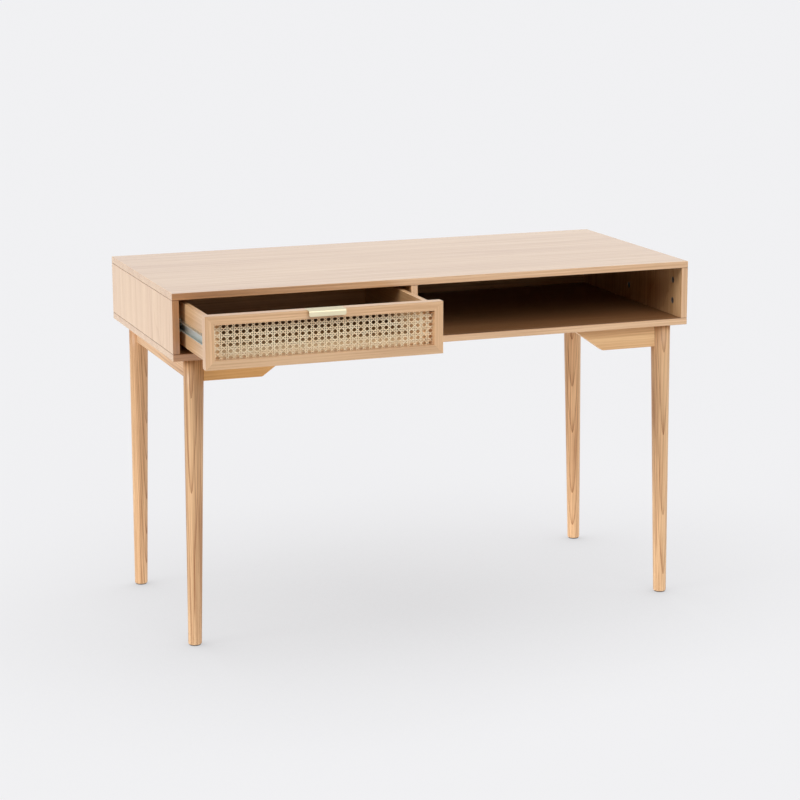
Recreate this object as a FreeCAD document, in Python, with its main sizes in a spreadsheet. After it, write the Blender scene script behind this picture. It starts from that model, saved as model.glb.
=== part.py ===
"""Desk with a cane-fronted drawer on ball-bearing slides, an open bay and four splayed, tapered legs.

Millimetres, +Z up, X along the desk, the user sits at -Y. The origin is on the floor, under the middle
of the desk as it stands with its drawer part open."""

import FreeCAD, Part
import math
import os
import re
import Sketcher

Vector = FreeCAD.Vector
Rotation = FreeCAD.Rotation

# Driving sizes
SIZES = {
    # Case of veneered boards
    "width": 1200, "depth": 550, "height": 780, "case_height": 145,
    "panel": 15, "arris": 0.8, "bay_width": 518,
    "back_thick": 5, "back_inset": 12, "groove_depth": 6, "groove_play": 0.2,
    # Cam fittings and dowels of the case
    "cam_radius": 7.5, "cam_depth": 12.5, "cam_sink": 0.6, "cam_play": 0.1,
    "cam_setback": 34, "cam_front": 46, "fit_play": 0.15,
    "cam_bolt_radius": 3, "cam_bolt_grip": 11, "cam_neck_radius": 2, "cam_neck_past": 2,
    "dowel_radius": 4, "dowel_long": 20, "dowel_short": 10, "dowel_step": 64,
    # Leg frame
    "leg_side": 51.5, "leg_front": 30.5, "leg_splay": 11.3,
    "leg_top_radius": 22, "leg_foot_radius": 14.8, "foot_bevel": 1.5,
    "glide_radius": 12.5, "glide_height": 2, "glide_pin_radius": 2, "glide_pin": 14,
    "rail_height": 50, "rail_thick": 20, "cope_play": 0.3,
    "bracket_foot": 148.5, "bracket_run": 71, "bracket_round": 4,
    "tenon_thick": 8, "tenon_height": 30, "tenon_depth": 15,
    "frame_bolt_radius": 3, "frame_bolt_head": 4, "frame_bolt_head_radius": 5.5,
    "frame_bolt_length": 40, "frame_bolt_sink": 20, "rail_bolt_step": 110, "bracket_bolt_step": 75,
    "insert_radius": 4.5, "insert_length": 12,
    # Drawer front with its cane
    "drawer_open": 197, "front_gap": 2, "front_thick": 23, "member": 19,
    "cane_back": 14, "cane_thick": 2, "cane_tuck": 4, "slot_depth": 4.5, "slot_play": 0.2,
    "cane_pitch": 14, "cane_row": 13, "cane_hole": 7.4,
    # Drawer box
    "side_thick": 12, "side_drop": 7, "side_lift": 10, "side_length": 418,
    "bottom_thick": 4, "bottom_groove": 5, "bottom_rise": 6,
    "corner_block": 14, "corner_screw_low": 2.2, "corner_screw_high": 5,
    "box_dowel_radius": 3, "box_dowel_depth": 8, "box_dowel_length": 30, "box_dowel_edge": 20,
    # Slides
    "slide_thick": 13, "slide_length": 400, "slide_plate": 1.2, "slide_setback": 26, "slide_start": 2,
    "case_channel": 27, "case_flange": 10, "drawer_channel": 18.5, "drawer_flange": 7.8,
    "cage_length": 90, "cage_plate": 0.6, "cage_web": 3.6, "cage_reach": 9.5,
    "ball_radius": 1.3, "ball_hole_radius": 1.75, "ball_pitch": 22, "ball_line": 7.5,
    # Screws
    "screw_radius": 1.75, "screw_head_radius": 3, "screw_head": 1.6, "screw_length": 11,
    "block_screw_length": 30,
    # Pull
    "pull_width": 80, "pull_plate": 1.5, "pull_flange": 23, "pull_reach": 12, "pull_drop": 12.5,
    "pull_bend": 2.5, "pull_corner": 4, "pull_screw_step": 25,
    "pull_screw_radius": 1.5, "pull_screw_head_radius": 2.8, "pull_screw_length": 14,
    # How far a cutting tool runs past what it cuts
    "overrun": 1,
}

# Places and sizes that follow from the driving sizes
DERIVED = {
    "case_front": "(drawer_open + pull_reach) / 2 - depth / 2",
    "case_mid": "case_front + depth / 2",
    "case_back": "case_front + depth",
    "case_base": "height - case_height",
    "bay_floor": "case_base + panel",
    "bay_roof": "height - panel",
    "bay_height": "case_height - 2 * panel",
    "bay_left": "panel - width / 2",
    "bay_centre": "bay_left + bay_width / 2",
    "back_front": "case_back - back_inset - back_thick",
    "leg_x": "width / 2 - leg_side",
    "foot_x": "leg_x + leg_splay",
    "leg_y": "depth / 2 - leg_front",
    "leg_rise": "case_base - glide_height",
    "rail_base": "case_base - rail_height",
    "bolt_seat": "rail_base + frame_bolt_sink",
    "front_face": "case_front - drawer_open",
    "front_rear": "front_face + front_thick",
    "front_width": "bay_width - 2 * front_gap",
    "front_height": "bay_height - 2 * front_gap",
    "front_base": "bay_floor + front_gap",
    "front_top": "bay_roof - front_gap",
    "cane_width": "front_width - 2 * member",
    "cane_height": "front_height - 2 * member",
    "box_width": "bay_width - 2 * slide_thick",
    "box_inside": "box_width - 2 * side_thick",
    "side_base": "front_base + side_lift",
    "side_height": "front_height - side_lift - side_drop",
    "side_end": "front_rear + side_length",
    "bottom_base": "side_base + bottom_rise",
    "bottom_top": "bottom_base + bottom_thick",
    "slide_mid": "bay_floor + bay_height / 2",
    "case_slide_front": "case_front + slide_setback",
    "drawer_slide_front": "front_rear + slide_start",
    "cage_mid": "case_slide_front + slide_length / 2 - drawer_open / 2",
    "ball_level": "(drawer_channel + case_channel) / 4 - slide_plate / 2",
}

# Where the three screws of a slide member sit along it
SLIDE_SCREW_SHARES = (0.05, 0.52, 0.92)
# Where the screws of the drawer bottom sit across it
BOTTOM_SCREW_SHARES = (0.1, 0.5, 0.9)

# How much of a cube's side each bevel takes to leave 26 faces as even as a ball's
BALL_BEVEL_SHARE = 0.2929

# How far the weave's pattern lies off the middle of its opening, in pitches to the right and up
CANE_SHIFT_SHARES = (-0.29, 0.385)

BALLS_IN_ROW = 4
# Flat sides of small rounds: few on hidden, repeated fasteners, more where they show, most on the legs
FEW_SIDES = 6
SOME_SIDES = 16
LEG_SIDES = 32
CANE_SIDES = 6
TOUCH = 1e-4
LEFT_RIGHT = {"left": -1, "right": 1}
FRONT_REAR = {"front": -1, "rear": 1}
UP = Vector(0, 0, 1)
TOWARDS = {
    "+X": Vector(1, 0, 0), "-X": Vector(-1, 0, 0),
    "+Y": Vector(0, 1, 0), "-Y": Vector(0, -1, 0),
    "+Z": Vector(0, 0, 1), "-Z": Vector(0, 0, -1),
}

doc = FreeCAD.newDocument("desk")
sheet = doc.addObject("Spreadsheet::Sheet", "Sizes")
for row, (alias, size) in enumerate(SIZES.items(), 1):
    sheet.set(f"A{row}", alias)
    sheet.set(f"B{row}", str(size))
    sheet.setAlias(f"B{row}", alias)
doc.recompute()
pieces = []


def formula(text):
    """A size written in plain names, as an expression on the sheet's cells."""

    def cell(match):
        name = match.group()
        if name in DERIVED:
            return "(" + formula(DERIVED[name]) + ")"
        return "Sizes." + name if name in SIZES else name

    return re.sub(r"[A-Za-z_]\w*", cell, str(text))


def value(text):
    """The present value of a size, for what has no property to bind."""
    result = sheet.evalExpression(formula(text))
    return float(getattr(result, "Value", result))


def bind(thing, **sizes):
    for name, text in sizes.items():
        thing.setExpression(name, formula(text))


def place(thing, at, turn=None):
    if turn:
        thing.Placement.Rotation = turn
    for axis, text in zip("xyz", at):
        thing.setExpression(f"Placement.Base.{axis}", formula(text))
    return thing


def piece(thing, label):
    """Name a finished sub-part, which is then written to a file of that name."""
    thing.Label = label
    pieces.append(thing)
    return thing


# Plain solids
def block(at, size):
    solid = doc.addObject("Part::Box", "block")
    bind(solid, Length=size[0], Width=size[1], Height=size[2])
    return place(solid, at)


def rod(radius, length, at=(0, 0, 0), towards="+Z", sides=0):
    """A round rod, or one with a few flat sides where it is small, hidden and repeated."""
    if sides:
        solid = doc.addObject("Part::Prism", "rod")
        solid.Polygon = sides
        bind(solid, Circumradius=radius, Height=length)
    else:
        solid = doc.addObject("Part::Cylinder", "rod")
        bind(solid, Radius=radius, Height=length)
    return place(solid, at, Rotation(UP, TOWARDS[towards]))


def board(at, size):
    """A rectangular board with its edges eased by the arris."""
    body = doc.addObject("PartDesign::Body", "board")
    blank = body.newObject("PartDesign::AdditiveBox", "blank")
    bind(blank, Length=size[0], Width=size[1], Height=size[2])
    eased = body.newObject("PartDesign::Chamfer", "eased")
    eased.Base = (blank, [f"Edge{number}" for number in range(1, 13)])
    bind(eased, Size="arris")
    return place(body, at)


def fuse(*solids):
    joined = doc.addObject("Part::MultiFuse", "joined")
    joined.Shapes = list(solids)
    return joined


def cut(base, *tools):
    result = doc.addObject("Part::Cut", "shaped")
    result.Base = base
    result.Tool = tools[0] if len(tools) == 1 else fuse(*tools)
    return result


def repeat(label, master, places):
    """Like pieces as one group: a copy of the master at each place, its +Z turned to the given side."""
    copies = []
    for at, towards in places:
        copy = doc.addObject("App::Link", "copy")
        copy.LinkedObject = master
        copies.append(place(copy, at, Rotation(UP, TOWARDS[towards])))
    group = doc.addObject("Part::Compound", label)
    group.Links = copies
    return piece(group, label)


# Drawn profiles
def drawn(plane, points):
    """A body with a closed sketch through the points, each held by its two distances from the origin."""
    body = doc.addObject("PartDesign::Body", "body")
    sketch = body.newObject("Sketcher::SketchObject", "profile")
    base = next(item for item in body.Origin.OriginFeatures if item.Role == plane)
    sketch.AttachmentSupport = [(base, "")]
    sketch.MapMode = "FlatFace"
    corners = [Vector(value(x), value(y), 0) for x, y in points]
    for start, end in zip(corners, corners[1:] + corners[:1]):
        sketch.addGeometry(Part.LineSegment(start, end))
    count = len(points)
    for number in range(count):
        sketch.addConstraint(Sketcher.Constraint("Coincident", number, 2, (number + 1) % count, 1))
    for number, point in enumerate(points):
        for kind, text, axis, size in zip(("DistanceX", "DistanceY"), point, (-2, -1), corners[number]):
            if abs(size) < TOUCH:
                sketch.addConstraint(Sketcher.Constraint("PointOnObject", number, 1, axis))
            else:
                held = sketch.addConstraint(Sketcher.Constraint(kind, -1, 1, number, 1, size))
                sketch.setExpression(f"Constraints[{held}]", formula(text))
    return body, sketch


def padded(plane, points, length, both_ways=False):
    """A profile pushed out by a length: along +Y from XZ, or both ways alike."""
    body, sketch = drawn(plane, points)
    pad = body.newObject("PartDesign::Pad", "pad")
    pad.Profile = sketch
    pad.Reversed = not both_ways
    if both_ways:
        pad.SideType = "Symmetric"
    bind(pad, Length=length)
    doc.recompute()
    return body


def edges_at(shape, **fixed):
    """The edges whose ends all lie at the given coordinates."""
    wanted = {axis: value(text) for axis, text in fixed.items()}
    return [
        f"Edge{number}"
        for number, edge in enumerate(shape.Edges, 1)
        if all(
            abs(getattr(end.Point, axis) - size) < TOUCH
            for end in edge.Vertexes
            for axis, size in wanted.items()
        )
    ]


def rounded(body, radius, *places):
    """Round the edges of a body that lie at the given places."""
    tip = body.Tip
    fillet = body.newObject("PartDesign::Fillet", "rounded")
    fillet.Base = (tip, [name for fixed in places for name in edges_at(tip.Shape, **fixed)])
    bind(fillet, Radius=radius)
    doc.recompute()
    return body


# Case
def uprights():
    """Each standing board: name, its left face, the way its fittings face, and where its cams sit."""
    ends = ["case_front + cam_front", "case_back - cam_front"]
    return [
        ("left_side_panel", "-width / 2", 1, ends + ["case_mid"]),
        ("right_side_panel", "width / 2 - panel", -1, ends + ["case_mid"]),
        ("centre_divider", "bay_left + bay_width", -1, ends),
    ]


DOWEL_ROWS = ("case_front + cam_front + dowel_step", "case_back - cam_front - dowel_step")
# Upper and lower end of a standing board: the level there and the way that leads out of it
BOARD_ENDS = (("bay_roof", 1), ("bay_floor", -1))


def z_side(way):
    return "+Z" if way > 0 else "-Z"


def case_places():
    """Where cams, bolts and dowels of the case sit: (x, y, level, way out, facing) for each."""
    cams = []
    dowels = []
    for name, left, facing, cam_rows in uprights():
        middle = f"{left} + panel / 2"
        for level, way in BOARD_ENDS:
            cams += [(middle, row, level, way, facing) for row in cam_rows]
            dowels += [(middle, row, level, way) for row in DOWEL_ROWS]
    return cams, dowels


def fitting_bores(level_wanted, grip, cams, dowels):
    """Blind bores in the top or bottom board for the bolts and dowels that stand at one level."""
    bores = []
    for x, y, level, way, facing in cams:
        if level == level_wanted:
            start = f"{level} - {way} * overrun"
            length = "overrun + cam_bolt_grip + fit_play"
            bores.append(rod("cam_bolt_radius + fit_play", length, (x, y, start), z_side(way), FEW_SIDES))
    for x, y, level, way in dowels:
        if level == level_wanted:
            start = f"{level} - {way} * overrun"
            length = f"overrun + {grip} + fit_play"
            bores.append(rod("dowel_radius + fit_play", length, (x, y, start), z_side(way), FEW_SIDES))
    return bores


def back_groove():
    """The groove that runs round the case and takes the back panel."""
    return block(
        ("bay_left - groove_depth - groove_play", "back_front - groove_play",
         "bay_floor - groove_depth - groove_play"),
        ("width - 2 * panel + 2 * groove_depth + 2 * groove_play", "back_thick + 2 * groove_play",
         "bay_height + 2 * groove_depth + 2 * groove_play"),
    )


def slide_pilots(wall, towards):
    """Bores for the slide's screws in the board that carries its case member."""
    return [
        rod("screw_radius + fit_play", "screw_length + fit_play",
            (wall, f"case_slide_front + {share} * slide_length", "slide_mid"), towards, FEW_SIDES)
        for share in SLIDE_SCREW_SHARES
    ]


def make_case():
    cams, dowels = case_places()
    groove = back_groove()
    top = board(("-width / 2", "case_front", "bay_roof"), ("width", "depth", "panel"))
    piece(cut(top, groove, *fitting_bores("bay_roof", "dowel_short", cams, dowels)), "top_panel")
    bottom = board(("-width / 2", "case_front", "case_base"), ("width", "depth", "panel"))
    inserts = [
        rod("insert_radius + fit_play", "overrun + insert_length + fit_play",
            (x, y, "case_base - overrun"), "+Z", FEW_SIDES)
        for x, y in frame_bolt_places()
    ]
    bores = fitting_bores("bay_floor", "dowel_short", cams, dowels)
    piece(cut(bottom, groove, *bores, *inserts), "bottom_panel")
    for name, left, facing, cam_rows in uprights():
        make_upright(name, left, facing, cam_rows, groove)
    back = block(
        ("bay_left - groove_depth", "back_front", "bay_floor - groove_depth"),
        ("width - 2 * panel + 2 * groove_depth", "back_thick", "bay_height + 2 * groove_depth"),
    )
    piece(back, "back_panel")
    make_case_fittings(cams, dowels)


def make_upright(name, left, facing, cam_rows, groove):
    """A standing board with its cam bores, bolt bores and dowel bores."""
    divider = name == "centre_divider"
    run = "back_front - case_front - groove_play" if divider else "depth"
    base = board((left, "case_front", "bay_floor"), ("panel", run, "bay_height"))
    middle = f"{left} + panel / 2"
    face = f"{left} + panel" if facing > 0 else left
    inward = "-X" if facing > 0 else "+X"
    tools = [] if divider else [groove]
    for level, way in BOARD_ENDS:
        outside = f"{level} + {way} * overrun"
        into = z_side(-way)
        for row in cam_rows:
            centre = (f"{face} + {facing} * overrun", row, f"{level} - {way} * cam_setback")
            tools.append(rod("cam_radius", "cam_depth + overrun", centre, inward, SOME_SIDES))
            tools.append(rod("cam_bolt_radius + fit_play", "cam_setback + overrun",
                             (middle, row, outside), into, FEW_SIDES))
        for row in DOWEL_ROWS:
            tools.append(rod("dowel_radius + fit_play", "dowel_long + overrun + fit_play",
                             (middle, row, outside), into, FEW_SIDES))
    if name != "right_side_panel":
        tools += slide_pilots(face, inward)
    piece(cut(base, *tools), name)


def make_case_fittings(cams, dowels):
    drum = rod("cam_radius - cam_play", "cam_depth - cam_sink - cam_play", sides=SOME_SIDES)
    entry = rod("cam_neck_radius + fit_play", "cam_radius + cam_neck_past + overrun",
                ("-cam_neck_past - fit_play", 0, "panel / 2 - cam_sink"), "+X", FEW_SIDES)
    cam = cut(drum, entry)
    doc.recompute()
    places = []
    for x, y, level, way, facing in cams:
        # The drum's entry faces the bolt, its slotted face looks out of the board.
        place_x = f"{x} + {facing} * (panel / 2 - cam_sink)"
        places.append(((place_x, y, f"{level} - {way} * cam_setback"), facing, way))
    copies = []
    for at, facing, way in places:
        copy = doc.addObject("App::Link", "copy")
        copy.LinkedObject = cam
        axis = Vector(-facing, 0, 0)
        entry_way = Vector(0, 0, way)
        copies.append(place(copy, at, Rotation(entry_way, axis.cross(entry_way), axis, "ZXY")))
    group = doc.addObject("Part::Compound", "cam_locks")
    group.Links = copies
    piece(group, "cam_locks")

    neck = "cam_radius + cam_neck_past"
    shank = rod("cam_bolt_radius", "cam_setback - cam_radius + cam_bolt_grip - fit_play",
                (0, 0, "cam_radius + fit_play"), "+Z", FEW_SIDES)
    tip = rod("cam_neck_radius", f"{neck} + fit_play", (0, 0, "-cam_neck_past"), "+Z", FEW_SIDES)
    bolt = fuse(shank, tip)
    repeat("cam_bolts", bolt, [
        ((x, y, f"{level} - {way} * cam_setback"), z_side(way)) for x, y, level, way, facing in cams
    ])
    dowel = rod("dowel_radius", "dowel_long + dowel_short", sides=FEW_SIDES)
    repeat("case_dowels", dowel, [
        ((x, y, f"{level} - {way} * dowel_long"), z_side(way)) for x, y, level, way in dowels
    ])


# Leg frame
def frame_bolt_places():
    """Where the bolts of the leg frame stand: two along each side rail and one in each bracket."""
    places = []
    for side in LEFT_RIGHT.values():
        for end in FRONT_REAR.values():
            places.append((f"{side} * leg_x", f"case_mid + {end} * (leg_y - rail_bolt_step)"))
            places.append((f"{side} * (leg_x - bracket_bolt_step)", f"case_mid + {end} * leg_y"))
    return places


def stand(thing, side, end):
    """Set a leg, or what is scribed to one, on its foot and lean it in to its head under the case."""
    foot = (f"{side} * foot_x", f"case_mid + {end} * leg_y", "glide_height - overrun")
    place(thing, foot, Rotation(Vector(0, -side, 0), 1))
    bind(thing, **{"Placement.Rotation.Angle": "atan(leg_splay / leg_rise)"})
    return thing


def rail_tenon(side, end, play="0"):
    """The loose tenon between a leg and its side rail."""
    reach = "leg_top_radius + tenon_depth" if end > 0 else "tenon_depth - leg_top_radius"
    return block(
        (f"{side} * leg_x - tenon_thick / 2 - {play}", f"case_mid + {end} * leg_y - ({reach}) - {play}",
         f"case_base - rail_height / 2 - tenon_height / 2 - {play}"),
        (f"tenon_thick + 2 * {play}", f"2 * tenon_depth + 2 * {play}", f"tenon_height + 2 * {play}"),
    )


def bracket_tenon(side, end, play="0"):
    """The loose tenon between a leg and its bracket."""
    reach = "leg_top_radius + tenon_depth" if side > 0 else "tenon_depth - leg_top_radius"
    return block(
        (f"{side} * leg_x - ({reach}) - {play}", f"case_mid + {end} * leg_y - tenon_thick / 2 - {play}",
         f"case_base - rail_height / 2 - tenon_height / 2 - {play}"),
        (f"2 * tenon_depth + 2 * {play}", f"tenon_thick + 2 * {play}", f"tenon_height + 2 * {play}"),
    )


def bolt_bores(x, y):
    """A bolt's bore through a rail, with the deep counterbore its head sinks into."""
    start = (x, y, "rail_base - overrun")
    return [
        rod("frame_bolt_head_radius + fit_play", "overrun + frame_bolt_sink", start, "+Z", FEW_SIDES),
        rod("frame_bolt_radius + fit_play", "rail_height + 2 * overrun", start, "+Z", FEW_SIDES),
    ]


def make_leg(name, side, end, space):
    """A tapered leg with a bevelled foot, cut level where it meets the case and the glide.

    Many flat sides stand for the turned round, because a long cone takes far more facets."""
    body = doc.addObject("PartDesign::Body", "leg")
    stock = body.newObject("PartDesign::AdditivePrism", "stock")
    stock.Polygon = LEG_SIDES
    bind(stock, Circumradius="leg_top_radius", Height="leg_rise + 2 * overrun")
    doc.recompute()
    levels = {f"Face{number}": face.CenterOfMass.z for number, face in enumerate(stock.Shape.Faces, 1)}
    head = max(levels, key=levels.get)
    foot = min(levels, key=levels.get)
    taper = body.newObject("PartDesign::Draft", "taper")
    taper.Base = (stock, [face for face in levels if face not in (head, foot)])
    taper.NeutralPlane = (stock, [head])
    taper.Reversed = True
    across = f"(leg_top_radius - leg_foot_radius) * cos(180 deg / {LEG_SIDES})"
    bind(taper, Angle=f"atan({across} / (leg_rise + 2 * overrun))")
    doc.recompute()
    bevel = body.newObject("PartDesign::Chamfer", "bevel")
    bevel.Base = (taper, edges_at(taper.Shape, z="0"))
    bind(bevel, Size="foot_bevel + overrun")
    stand(body, side, end)
    level = doc.addObject("Part::Common", "level")
    level.Base = body
    level.Tool = space
    pin_foot = (f"{side} * foot_x", f"case_mid + {end} * leg_y", "glide_height - overrun / 2")
    pin = rod("glide_pin_radius + fit_play", "glide_pin + overrun", pin_foot, "+Z", FEW_SIDES)
    mortises = [rail_tenon(side, end, "fit_play"), bracket_tenon(side, end, "fit_play")]
    piece(cut(level, pin, *mortises), f"{name}_leg")


def cope(side, end):
    """The round of a leg, with a little play, that a rail's end is scribed to."""
    cone = doc.addObject("Part::Cone", "cope")
    bind(cone, Radius1="leg_foot_radius + cope_play", Radius2="leg_top_radius + cope_play",
         Height="leg_rise + 2 * overrun")
    return stand(cone, side, end)


def make_bracket(name, side, end):
    """The bracket beside a leg, its free end cut on a slant up to the case."""
    inner = f"{side} * (leg_x - bracket_foot)"
    body = padded("XZ_Plane", [
        (f"{side} * leg_x", "case_base"), (f"{side} * leg_x", "rail_base"), (inner, "rail_base"),
        (f"{side} * (leg_x - bracket_foot - bracket_run)", "case_base"),
    ], "rail_thick", both_ways=True)
    rounded(body, "bracket_round", {"x": inner, "z": "rail_base"})
    y = f"case_mid + {end} * leg_y"
    place(body, (0, y, 0))
    bolts = bolt_bores(f"{side} * (leg_x - bracket_bolt_step)", y)
    piece(cut(body, cope(side, end), bracket_tenon(side, end, "fit_play"), *bolts), f"{name}_bracket")


def make_rail(name, side):
    """The side rail between a front and a rear leg, scribed to both."""
    rail = board((f"{side} * leg_x - rail_thick / 2", "case_mid - leg_y", "rail_base"),
                 ("rail_thick", "2 * leg_y", "rail_height"))
    tools = []
    for end in FRONT_REAR.values():
        tools += [cope(side, end), rail_tenon(side, end, "fit_play")]
        tools += bolt_bores(f"{side} * leg_x", f"case_mid + {end} * (leg_y - rail_bolt_step)")
    piece(cut(rail, *tools), f"{name}_side_rail")


def make_leg_frame():
    space = block(("-width / 2", "case_front", "glide_height"), ("width", "depth", "leg_rise"))
    tenons = []
    glides = []
    for side_name, side in LEFT_RIGHT.items():
        make_rail(side_name, side)
        for end_name, end in FRONT_REAR.items():
            name = f"{end_name}_{side_name}"
            make_leg(name, side, end, space)
            make_bracket(name, side, end)
            tenons += [rail_tenon(side, end), bracket_tenon(side, end)]
            glides.append(((f"{side} * foot_x", f"case_mid + {end} * leg_y", 0), "+Z"))
    group = doc.addObject("Part::Compound", "frame_tenons")
    group.Links = tenons
    piece(group, "frame_tenons")
    glide = fuse(rod("glide_radius", "glide_height", sides=SOME_SIDES),
                 rod("glide_pin_radius", "glide_height + glide_pin", sides=FEW_SIDES))
    repeat("foot_glides", glide, glides)
    head = rod("frame_bolt_head_radius", "frame_bolt_head", (0, 0, "-frame_bolt_head"), "+Z", FEW_SIDES)
    bolt = fuse(head, rod("frame_bolt_radius", "frame_bolt_length", sides=FEW_SIDES))
    repeat("frame_bolts", bolt, [((x, y, "bolt_seat"), "+Z") for x, y in frame_bolt_places()])
    thread = rod("frame_bolt_radius + fit_play", "insert_length + 2 * overrun", (0, 0, "-overrun"),
                 "+Z", FEW_SIDES)
    insert = cut(rod("insert_radius", "insert_length", sides=FEW_SIDES), thread)
    repeat("threaded_inserts", insert, [((x, y, "case_base"), "+Z") for x, y in frame_bolt_places()])


# Drawer
def front_member(label, points, *tools):
    """A mitred member of the drawer front, drawn from the middle of the front's lower edge."""
    body = padded("XZ_Plane", points, "front_thick")
    place(body, ("bay_centre", "front_face", "front_base"))
    piece(cut(body, *tools), label)


def corner_screw_places():
    """Heads of the screws that go forward through the corner blocks into the front's rails."""
    offset = "(box_inside / 2 - corner_block / 2)"
    return [
        ((f"bay_centre + {side} * {offset}", "front_rear + corner_block", level), "-Y")
        for side in LEFT_RIGHT.values()
        for level in ("side_base + corner_screw_low", "side_base + side_height - corner_screw_high")
    ]


def bores_along(places, radius, length):
    return [rod(radius, length, at, towards, FEW_SIDES) for at, towards in places]


def make_drawer_front():
    slot = block(
        ("bay_centre - cane_width / 2 - slot_depth", "front_face + cane_back - slot_play",
         "front_base + member - slot_depth"),
        ("cane_width + 2 * slot_depth", "cane_thick + 2 * slot_play", "cane_height + 2 * slot_depth"),
    )
    screws = bores_along(corner_screw_places(), "screw_radius + fit_play",
                         "block_screw_length + fit_play")
    seat = block(
        ("bay_centre - pull_width / 2 - fit_play", "front_face - overrun", "front_top - pull_plate"),
        ("pull_width + 2 * fit_play", "pull_flange + overrun + fit_play", "pull_plate + overrun"),
    )
    pull_bores = bores_along(pull_screw_places(), "pull_screw_radius + fit_play",
                             "pull_screw_length + fit_play")
    half, tall = "front_width / 2", "front_height"
    front_member("front_top_rail", [
        (f"-{half}", tall), (half, tall), (f"{half} - member", f"{tall} - member"),
        (f"member - {half}", f"{tall} - member"),
    ], slot, seat, *pull_bores, *screws)
    front_member("front_bottom_rail", [
        (f"-{half}", "0"), (half, "0"), (f"{half} - member", "member"), (f"member - {half}", "member"),
    ], slot, *screws)
    for name, side in LEFT_RIGHT.items():
        outer, inner = f"{side} * {half}", f"{side} * ({half} - member)"
        front_member(f"front_{name}_stile", [
            (outer, "0"), (inner, "member"), (inner, f"{tall} - member"), (outer, tall),
        ], slot)
    make_cane()


def make_cane():
    """The cane as one net: a sheet with a hole between all the crossings of its weave."""
    tuck = value("cane_tuck")
    flat = value("cane_hole") / 2
    radius = flat / math.cos(math.pi / CANE_SIDES)
    turns = [(corner + 1 / 2) * 2 * math.pi / CANE_SIDES for corner in range(CANE_SIDES)]
    ring = [(radius * math.cos(turn), radius * math.sin(turn)) for turn in turns]

    def loop(points):
        return Part.makePolygon([Vector(x, 0, z) for x, z in points + points[:1]])

    def middles(span, pitch, share):
        """Where the holes lie along one way: those that show whole or are only just tucked in."""
        reach = span / 2 + tuck / 2 - flat
        first = math.ceil(-reach / pitch - share)
        last = math.floor(reach / pitch - share)
        return [(step + share) * pitch for step in range(first, last + 1)]

    half_wide, half_tall = value("cane_width / 2 + cane_tuck"), value("cane_height / 2 + cane_tuck")
    wires = [loop([(-half_wide, -half_tall), (half_wide, -half_tall),
                   (half_wide, half_tall), (-half_wide, half_tall)])]
    for x in middles(value("cane_width"), value("cane_pitch"), CANE_SHIFT_SHARES[0]):
        for z in middles(value("cane_height"), value("cane_row"), CANE_SHIFT_SHARES[1]):
            wires.append(loop([(x + dx, z + dz) for dx, dz in ring]))
    sheet_of_cane = Part.makeFace(wires, "Part::FaceMakerBullseye")
    net = doc.addObject("Part::Feature", "cane_panel")
    net.Shape = sheet_of_cane.extrude(Vector(0, value("cane_thick"), 0))
    place(net, ("bay_centre", "front_face + cane_back", "front_base + front_height / 2"))
    piece(net, "cane_panel")


def box_dowel_places():
    """Dowels that go from each drawer side into the end of the drawer back."""
    offset = "(box_inside / 2 + box_dowel_depth)"
    return [
        ((f"bay_centre + {side} * {offset}", "side_end - side_thick / 2", level), "-X" if side > 0 else "+X")
        for side in LEFT_RIGHT.values()
        for level in ("bottom_top + box_dowel_edge", "side_base + side_height - box_dowel_edge")
    ]


def bottom_screw_places():
    row = "side_end - side_thick / 2"
    return [
        ((f"bay_centre + ({share} - 1 / 2) * box_inside", row, "bottom_base"), "+Z")
        for share in BOTTOM_SCREW_SHARES
    ]


def drawer_slide_screw_places(side):
    wall = f"bay_centre + {side} * (box_width / 2 + slide_plate)"
    return [
        ((wall, f"drawer_slide_front + {share} * slide_length", "slide_mid"), "-X" if side > 0 else "+X")
        for share in SLIDE_SCREW_SHARES
    ]


def case_slide_screw_places(side):
    wall = f"bay_centre + {side} * (bay_width / 2 - slide_plate)"
    return [
        ((wall, f"case_slide_front + {share} * slide_length", "slide_mid"), "+X" if side > 0 else "-X")
        for share in SLIDE_SCREW_SHARES
    ]


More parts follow.
